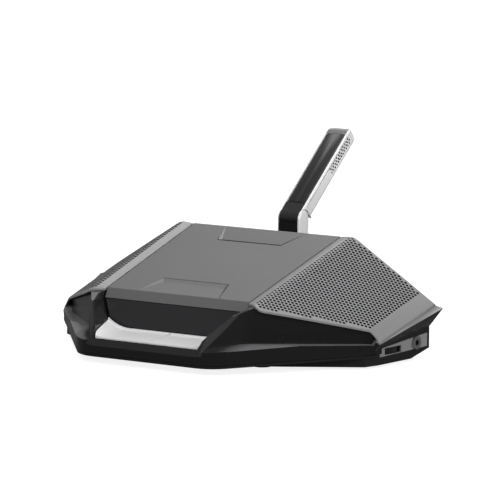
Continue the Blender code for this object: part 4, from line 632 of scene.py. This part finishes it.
# Half of the head's outline from the rim beside the dark panel, over a groove, to the rear edge
RIM = ((7.35, -5.8), (7.75, -5.68), (8.2, -5.25), (8.42, -4.8), (8.5, -4.45), (8.5, -4.35), (8.0, -4.3),
       (8.0, -3.85), (8.5, -3.8), (8.5, HOLES_FRONT), (8.5, HOLES_BACK), (8.5, 2.4), (8.3, 3.2), (7.8, 4.3),
       (7.0, 5.3), (5.8, 6.15))
HOLE_SIDE = RIM.index((HEAD_HALF, HOLES_FRONT))


def lofted(shape, rings, left_open=()):
    """Walls between rings of equally many points, with a face on each end."""
    layers = [[shape.verts.new(point) for point in ring] for ring in rings]
    count = len(rings[0])
    for k, (lower, upper) in enumerate(zip(layers, layers[1:])):
        for i in range(count):
            j = (i + 1) % count
            if (k, i) not in left_open:
                shape.faces.new((lower[i], lower[j], upper[j], upper[i]))
    shape.faces.new(list(reversed(layers[0])))
    shape.faces.new(layers[-1])


def extruded(profile, places):
    """Rings of a side profile, one for each place along X."""
    return [[Vector((x, y, z)) for y, z in profile] for x in places]


def arc(radius, first, last, steps):
    """Points of a circle round the hinge, in degrees from the rear over the top."""
    angles = [math.radians(first + (last - first) * i / steps) for i in range(steps + 1)]
    return [(radius * math.cos(angle), radius * math.sin(angle)) for angle in angles]


def finished(shape, name, frame_matrix, finish, body, sharp=35, closed=True):
    """A piece from a shape given in millimetres in a frame of its own."""
    if closed:
        bmesh.ops.recalc_face_normals(shape, faces=shape.faces)
    bmesh.ops.transform(shape, matrix=frame_matrix @ Matrix.Scale(MM, 4), verts=shape.verts)
    return placed(name, smoothed(shape, name, finish, sharp), body)


def depth_share(z):
    """How much of its full depth the head has at a height: all of it below the dome."""
    if z <= DOME_START:
        return 1.0
    return math.sqrt(max(0, 1 - ((z - DOME_START) / HEAD_DEPTH) ** 2))


def width_share(z):
    """How much of its full width the head has at a height: all of it below the rounded corners."""
    corner_start = HEAD_END - CAP_CORNER
    if z <= corner_start:
        return 1.0
    rise = (z - corner_start) / CAP_CORNER
    return 1 - CAP_CORNER_WIDTH * (1 - math.sqrt(max(0, 1 - rise ** 2))) / HEAD_HALF


def head_ring(z, floor):
    """One cross-section of the head, with the depth of its front between the rims."""
    half = [(RIM[0][0], floor)] + list(RIM)
    right = [Vector((x * width_share(z), y * depth_share(z), z)) for x, y in half]
    left = [Vector((-point.x, point.y, z)) for point in reversed(right)]
    return right + left


# Cheeks of the head beside the knuckle, hollowed round the fork's arms
CHEEK_INNER = 7.15
CHEEK_CLEAR = 6.45
CHEEK_STEPS = 8
CHEEK_LOW = 6.6
CHEEK_BACK = 6.1
CHEEK_OUTER_BACK = 5.2
CHEEK_OUTER_START = 8


def cheek(side):
    """Sections of one cheek, from its inner face to the head's flat side."""
    layers = []
    for x, front in ((CHEEK_INNER, RIM[0][1]), *RIM[:4], RIM[5]):
        start = math.asin(front / CHEEK_CLEAR)
        turns = [start * (1 - i / CHEEK_STEPS) for i in range(CHEEK_STEPS + 1)]
        back = CHEEK_OUTER_BACK if x > CHEEK_OUTER_START else CHEEK_BACK
        points = [(front, HEAD_START)]
        points += [(CHEEK_CLEAR * math.sin(turn), CHEEK_CLEAR * math.cos(turn)) for turn in turns]
        points += [(back, CHEEK_LOW), (back, HEAD_START)]
        layers.append([Vector((side * x, y, z)) for y, z in points])
    return layers


def head_shell():
    """Silver body of the head, open where the perforated strips sit, with cheeks round the fork."""
    shape = bmesh.new()
    dome = [HEAD_END - HEAD_DEPTH * (1 - math.sin(math.pi / 2 * i / DOME_STEPS)) for i in range(DOME_STEPS)]
    heights = [HEAD_START, HOLES_START, CAP_START - CAP_SEAM, CAP_START, HOLES_END, *dome, HEAD_END - TOP_GAP]
    rings = [head_ring(z, CHANNEL_FLOOR if z < CAP_START else CAP_FLOOR) for z in heights]
    right_strip = 1 + HOLE_SIDE
    left_strip = len(rings[0]) - 2 - right_strip
    beside_holes = [k for k, z in enumerate(heights) if HOLES_START <= z < HOLES_END]
    lofted(shape, rings, {(k, i) for k in beside_holes for i in (right_strip, left_strip)})
    for side in (-1, 1):
        lofted(shape, cheek(side))
    piece = finished(shape, "microphone_shell", HEAD_FRAME, SILVER, "mic_head")
    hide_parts("mic_shell")


# Sound holes on the head's sides: three rows, the middle one set half a pitch on
SOUND_ROWS = (-2.95, -1.25, 0.45)
SOUND_HOLES = 12
SOUND_START = 43
SOUND_PITCH = 2.5
SOUND_RADIUS = 0.76
SOUND_DEPTH = 0.7
STRIP_TOLERANCE = 0.0001
# Painted shade: a dark strip at the bottom of the groove that runs along the head's sides
GROOVE = ((8.05, -4.28), (8.3, -4.28), (8.3, -3.87), (8.05, -3.87))


def sound_rims():
    """Rims of the sound holes on a side of the head."""
    rings = []
    for row, y in enumerate(SOUND_ROWS):
        for column in range(SOUND_HOLES):
            z = SOUND_START + SOUND_PITCH * (column + (row % 2) / 2)
            rings.append([Vector((y + SOUND_RADIUS * math.cos(turn), z + SOUND_RADIUS * math.sin(turn)))
                          for turn in HOLE_TURNS])
    return rings


def perforated_strips():
    """The flat strips with sound holes, with dark cups behind the holes and a dark strip in each side groove
    as painted shade.
    """
    border = [Vector((HOLES_FRONT, HOLES_START)), Vector((HOLES_BACK, HOLES_START)),
              Vector((HOLES_BACK, HOLES_END)), Vector((HOLES_FRONT, HOLES_END))]
    rings = sound_rims()
    flat, triangles, _ = pierced_plan([border], rings, [], STRIP_TOLERANCE)
    sheet = bmesh.new()
    cups = bmesh.new()
    for side in (-1, 1):
        verts = [sheet.verts.new((side * HEAD_HALF, point.x, point.y)) for point in flat]
        for triangle in triangles:
            corners = [verts[i] for i in triangle]
            sheet.faces.new(corners if side > 0 else corners[::-1])
        for ring in rings:
            rim = [Vector((side * HEAD_HALF, point.x, point.y)) for point in ring]
            floor = [Vector((side * (HEAD_HALF - SOUND_DEPTH), point.x, point.y)) for point in ring]
            cup(cups, rim, floor, side < 0)
        lofted(cups, [[Vector((side * x, y, z)) for x, y in GROOVE] for z in (HEAD_START, HOLES_END)])
    finished(sheet, "microphone_sound_strips", HEAD_FRAME, SILVER, "mic_head", closed=False)
    finished(cups, "microphone_hole_shade_cups", HEAD_FRAME, BLACK_CONE_AND_HOLE_SHADE, "mic_head", closed=False)


# Grey insert over the head's end: its first heights, the turn of its dome in degrees, and how far
# its crown stands over the silver, its edge lies under it and its crown falls towards the sides
CAP_HEIGHTS = (CAP_START + CAP_SEAM, 72.6, 73.2)
CAP_TURN = 150
CAP_STEPS = 24
CAP_RAISED = 0.06
CAP_SUNK = 0.3
CAP_ROLL = 0.2
CAP_ROLL_POWER = 4
CAP_COLUMNS = 6


def head_cap():
    """Grey insert over the head's rounded end, from the dark panel's top to the rear."""
    shape = bmesh.new()
    path = [(-HEAD_DEPTH, z) for z in CAP_HEIGHTS]
    for i in range(CAP_STEPS + 1):
        turn = math.radians(CAP_TURN * i / CAP_STEPS)
        path.append((-HEAD_DEPTH * math.cos(turn), DOME_START + HEAD_DEPTH * math.sin(turn)))
    rings = []
    for y, z in path:
        half = RIM[0][0] * width_share(min(z, HEAD_END - TOP_GAP))
        outward = Vector((0, y, max(0, z - DOME_START))).normalized()
        edge = Vector((0, y, z)) - outward * CAP_SUNK
        crown = Vector((0, y, z)) + outward * CAP_RAISED
        ring = [Vector((-half, 0, 0)) + edge]
        for i in range(-CAP_COLUMNS, CAP_COLUMNS + 1):
            share = i / CAP_COLUMNS
            ring.append(Vector((half * share, 0, 0)) + crown - outward * CAP_ROLL * share ** CAP_ROLL_POWER)
        ring.append(Vector((half, 0, 0)) + edge)
        rings.append(ring)
    lofted(shape, rings)
    piece = finished(shape, "microphone_cap", HEAD_FRAME, CAP_GREY, "mic_head", sharp=60)
    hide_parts("mic_cap")


# Dark panel: sections as height, how far the middle falls back and how much narrower the half width is
PANEL_SECTIONS = ((9.1, 0.4, 0.2), (9.2, 0.15, 0.05), (9.4, 0, 0),
                  (71.5, 0, 0), (71.8, 0.2, 0.1), (71.93, 0.45, 0.3))
PANEL_HALF = 7.2
PANEL_BACK = -5.25
PANEL_COLUMNS = 8
PANEL_CROWN = 0.65
PANEL_EDGE_ROLL = 0.25
PANEL_ROLL_POWER = 12


def head_panel():
    """Dark crowned panel on the head's front, with soft edges."""
    shape = bmesh.new()
    rings = []
    for z, drop, narrow in PANEL_SECTIONS:
        half = PANEL_HALF - narrow
        ring = [Vector((-half, PANEL_BACK, z))]
        for i in range(-PANEL_COLUMNS, PANEL_COLUMNS + 1):
            x = half * i / PANEL_COLUMNS
            share = x / PANEL_HALF
            crown = PANEL_CROWN * share ** 2 + PANEL_EDGE_ROLL * share ** PANEL_ROLL_POWER
            ring.append(Vector((x, crown - HEAD_DEPTH + drop * (1 - share ** 2), z)))
        ring.append(Vector((half, PANEL_BACK, z)))
        rings.append(ring)
    lofted(shape, rings)
    piece = finished(shape, "microphone_front_panel", HEAD_FRAME, MIC_DARK, "mic_head")
    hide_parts("mic_front_cover")


# Knuckle, the fork's arms and the post's cover turn round the hinge with one radius
KNUCKLE_RADIUS = 6.1
KNUCKLE_HALF = 7
KNUCKLE_TOP = 9.05
KNUCKLE_FRONT = ((-5.4, KNUCKLE_TOP), (-5.4, 8.5), (-KNUCKLE_RADIUS, 8.5))
KNUCKLE_BACK = ((4.2, 6.8), (4.2, KNUCKLE_TOP))


def knuckle():
    """Dark rounded end of the head that turns between the arms of the fork."""
    shape = bmesh.new()
    profile = [*KNUCKLE_FRONT, *arc(KNUCKLE_RADIUS, 180, 360, 28), *KNUCKLE_BACK]
    lofted(shape, extruded(profile, (-KNUCKLE_HALF, KNUCKLE_HALF)))
    piece = finished(shape, "microphone_knuckle", HEAD_FRAME, MIC_DARK, "mic_head")
    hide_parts("mic_knuckle")


# Fork: each arm's sections as places along X and how far their rims are set in, the block between
# the arms, and the arm to the housing with its plug as half width, low, high, start and end
FORK_FOOT = -31
ARM_SECTIONS = ((7.12, 0), (7.4, 0), (7.8, 0.2), (8.2, 0.65), (8.42, 1.1), (8.5, 1.6))
BLOCK_TOP = -8.5
BLOCK_FRONT = -4.2
BLOCK_BACK = 5.9
REACH_ARM = (HEAD_HALF, FORK_FOOT, -18.6, -30.2, -4)
PLUG = (6.4, -28.4, -21.2, -45.5, -29)
BAR_RADIUS = 1.2
BAR_END_INSET = 0.5
BAR_CORNER_STEPS = 5


def rounded_bar(shape, half, low, high, start, end):
    """A bar along Y with rounded edges, its ends a little narrower."""
    middle = (low + high) / 2
    rings = []
    for y, inset in ((start, BAR_END_INSET), (start + BAR_END_INSET, 0),
                     (end - BAR_END_INSET, 0), (end, BAR_END_INSET)):
        side = half - inset - BAR_RADIUS
        rise = (high - low) / 2 - inset - BAR_RADIUS
        ring = []
        for corner, (across, up) in enumerate(((1, 1), (-1, 1), (-1, -1), (1, -1))):
            for step in range(BAR_CORNER_STEPS + 1):
                turn = math.pi / 2 * (corner + step / BAR_CORNER_STEPS)
                x = across * side + BAR_RADIUS * math.cos(turn)
                z = middle + up * rise + BAR_RADIUS * math.sin(turn)
                ring.append(Vector((x, y, z)))
        rings.append(ring)
    lofted(shape, rings)


def fork():
    """Silver fork: two arms with round ends and chamfered rims, the block that joins them, and the
    arm and plug that lead into the housing's rear wall."""
    shape = bmesh.new()
    for side in (-1, 1):
        rings = []
        for x, inset in ARM_SECTIONS:
            radius = KNUCKLE_RADIUS - inset
            profile = arc(radius, 0, 180, 20) + [(-radius, FORK_FOOT), (radius, FORK_FOOT)]
            rings += extruded(profile, (side * x,))
        lofted(shape, rings)
    block = ((BLOCK_FRONT, BLOCK_TOP), (BLOCK_FRONT, FORK_FOOT),
             (BLOCK_BACK, FORK_FOOT), (BLOCK_BACK, BLOCK_TOP))
    inner = ARM_SECTIONS[0][0]
    lofted(shape, extruded(block, (-inner, inner)))
    rounded_bar(shape, *REACH_ARM)
    rounded_bar(shape, *PLUG)
    piece = finished(shape, "microphone_fork", STAND_FRAME, SILVER, "mic_stand")
    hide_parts("mic_foot")


# Dark cover on the post's front, hollowed at its top round the knuckle, between two angles in degrees
COVER_HALF = 7.05
COVER_TOP = -2
COVER_FOOT = -18.3
COVER_BACK = -4.25
COVER_CLEAR = 6.4
COVER_HOLLOW = (197.5, 229)


def post_cover():
    """Dark cover on the front of the post, between the fork's arms."""
    shape = bmesh.new()
    profile = [(-KNUCKLE_RADIUS, COVER_FOOT), (-KNUCKLE_RADIUS, COVER_TOP),
               *arc(COVER_CLEAR, *COVER_HOLLOW, 8), (COVER_BACK, COVER_FOOT)]
    lofted(shape, extruded(profile, (-COVER_HALF, COVER_HALF)))
    piece = finished(shape, "microphone_post_cover", STAND_FRAME, MIC_DARK, "mic_stand")
    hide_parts("mic_foot_cover")


head_shell()
perforated_strips()
head_cap()
head_panel()
knuckle()
fork()
post_cover()

# Stage: the floor glows for the camera and mirrors only a little of that glow in the object
FLOOR_SIZE = 4
FLOOR_GLOW = 0.86
FLOOR_REFLECTED = 0.14


def glow(tree, strength):
    """A plain white glow."""
    made = tree.nodes.new("ShaderNodeEmission")
    made.inputs["Strength"].default_value = strength
    return made


def stage_floor():
    """A plain white floor that keeps the object's shadow and clips to white round it."""
    shape = bmesh.new()
    bmesh.ops.create_grid(shape, x_segments=1, y_segments=1, size=FLOOR_SIZE)
    mesh = bpy.data.meshes.new("studio_floor")
    shape.to_mesh(mesh)
    shape.free()
    floor = bpy.data.objects.new("studio_floor", mesh)
    bpy.context.scene.collection.objects.link(floor)
    made = material("white_floor", (0.4, 0.4, 0.4), 0.9)
    tree = made.node_tree
    shader = tree.nodes["Principled BSDF"]
    shader.inputs["Specular IOR Level"].default_value = 0
    rays = tree.nodes.new("ShaderNodeLightPath")
    mirrored = tree.nodes.new("ShaderNodeMixShader")
    seen = tree.nodes.new("ShaderNodeMixShader")
    both = tree.nodes.new("ShaderNodeAddShader")
    tree.links.new(rays.outputs["Is Camera Ray"], seen.inputs["Fac"])
    tree.links.new(glow(tree, 0).outputs[0], seen.inputs[1])
    tree.links.new(glow(tree, FLOOR_GLOW).outputs[0], seen.inputs[2])
    tree.links.new(rays.outputs["Is Glossy Ray"], mirrored.inputs["Fac"])
    tree.links.new(shader.outputs[0], mirrored.inputs[1])
    tree.links.new(glow(tree, FLOOR_REFLECTED).outputs[0], mirrored.inputs[2])
    tree.links.new(mirrored.outputs[0], both.inputs[0])
    tree.links.new(seen.outputs[0], both.inputs[1])
    tree.links.new(both.outputs[0], tree.nodes["Material Output"].inputs["Surface"])
    mesh.materials.append(made)


stage_floor()

SKY_LOW = 0.2
SKY_HIGH = 0.5


def world():
    """White for the camera; for all other rays dark at the horizon and light overhead."""
    sky = bpy.data.worlds.new("studio")
    bpy.context.scene.world = sky
    sky.use_nodes = True
    tree = sky.node_tree
    tree.nodes.clear()
    out = tree.nodes.new("ShaderNodeOutputWorld")
    place = tree.nodes.new("ShaderNodeTexCoord")
    split = tree.nodes.new("ShaderNodeSeparateXYZ")
    ramp = tree.nodes.new("ShaderNodeMapRange")
    ramp.inputs["To Min"].default_value = SKY_LOW
    ramp.inputs["To Max"].default_value = SKY_HIGH
    light = tree.nodes.new("ShaderNodeBackground")
    seen = tree.nodes.new("ShaderNodeBackground")
    rays = tree.nodes.new("ShaderNodeLightPath")
    mix = tree.nodes.new("ShaderNodeMixShader")
    for node in (light, seen):
        node.inputs["Color"].default_value = (1, 1, 1, 1)
    tree.links.new(place.outputs["Generated"], split.inputs[0])
    tree.links.new(split.outputs["Z"], ramp.inputs["Value"])
    tree.links.new(ramp.outputs[0], light.inputs["Strength"])
    tree.links.new(rays.outputs["Is Camera Ray"], mix.inputs["Fac"])
    tree.links.new(light.outputs[0], mix.inputs[1])
    tree.links.new(seen.outputs[0], mix.inputs[2])
    tree.links.new(mix.outputs[0], out.inputs["Surface"])


world()

# Soft square lamps as place, aim, power and size, and one narrow beam on the microphone's side
LAMPS = {
    "back": ((-0.45, 0.95, 1.0), (0, 0, 0.04), 3.5, 0.8),
    "top": ((0.2, 0.1, 1.4), (0, 0, 0.04), 4, 0.8),
    "fill": ((0.4, -1.2, 0.9), (0, 0, 0.04), 7, 0.7),
    "side": ((1.5, 0, 0.5), (0, 0, 0.06), 6, 0.6),
}
BEAM_PLACE = (1.2, 0, 0.3)
BEAM_AIM = (0, 85 * MM, 108 * MM)
BEAM_POWER = 28
BEAM_ANGLE = math.radians(6.4)
BEAM_BLEND = 0.6
BEAM_SIZE = 0.06


def aimed(name, data, place, aim):
    """Puts a light at a place and points it at another."""
    made = bpy.data.objects.new(name, data)
    made.location = place
    made.rotation_euler = (Vector(aim) - Vector(place)).to_track_quat("-Z", "Y").to_euler()
    bpy.context.scene.collection.objects.link(made)


def lamps():
    """The soft lamps, and the beam that falls on the microphone's side only."""
    for name, (place, aim, power, size) in LAMPS.items():
        data = bpy.data.lights.new(name, "AREA")
        data.energy = power
        data.size = size
        aimed(name, data, place, aim)
    beam = bpy.data.lights.new("microphone_light", "SPOT")
    beam.energy = BEAM_POWER
    beam.spot_size = BEAM_ANGLE
    beam.spot_blend = BEAM_BLEND
    beam.shadow_soft_size = BEAM_SIZE
    aimed("microphone_light", beam, BEAM_PLACE, BEAM_AIM)


lamps()

# The photograph's viewpoint, and how far the frame's middle lies beside and below the target
CAMERA_AZIMUTH = math.radians(32.77)
CAMERA_ELEVATION = math.radians(7.91)
CAMERA_ROLL = math.radians(0.44)
CAMERA_TARGET = local(0, 70 * MM, 30 * MM)
CAMERA_DISTANCE = 2417.06 * MM
CAMERA_ASIDE = -26.51 * MM
CAMERA_BELOW = -35.16 * MM
CAMERA_LENS = 279.08
SENSOR = 36


def camera():
    """The photograph's viewpoint: a long lens from the front right, a little above."""
    level = math.cos(CAMERA_ELEVATION)
    right = Vector((math.cos(CAMERA_AZIMUTH), math.sin(CAMERA_AZIMUTH), 0))
    back = Vector((right.y * level, -right.x * level, math.sin(CAMERA_ELEVATION)))
    up = back.cross(right)
    right_rolled = right * math.cos(CAMERA_ROLL) + up * math.sin(CAMERA_ROLL)
    up_rolled = up * math.cos(CAMERA_ROLL) - right * math.sin(CAMERA_ROLL)
    place = CAMERA_TARGET + back * CAMERA_DISTANCE - right_rolled * CAMERA_ASIDE - up_rolled * CAMERA_BELOW
    data = bpy.data.cameras.new("camera")
    data.lens = CAMERA_LENS
    data.sensor_width = SENSOR
    made = bpy.data.objects.new("camera", data)
    columns = Matrix((right_rolled, up_rolled, back)).transposed().to_4x4()
    made.matrix_world = Matrix.Translation(place) @ columns
    bpy.context.scene.collection.objects.link(made)
    bpy.context.scene.camera = made


camera()

bpy.context.scene.view_settings.view_transform = "Standard"
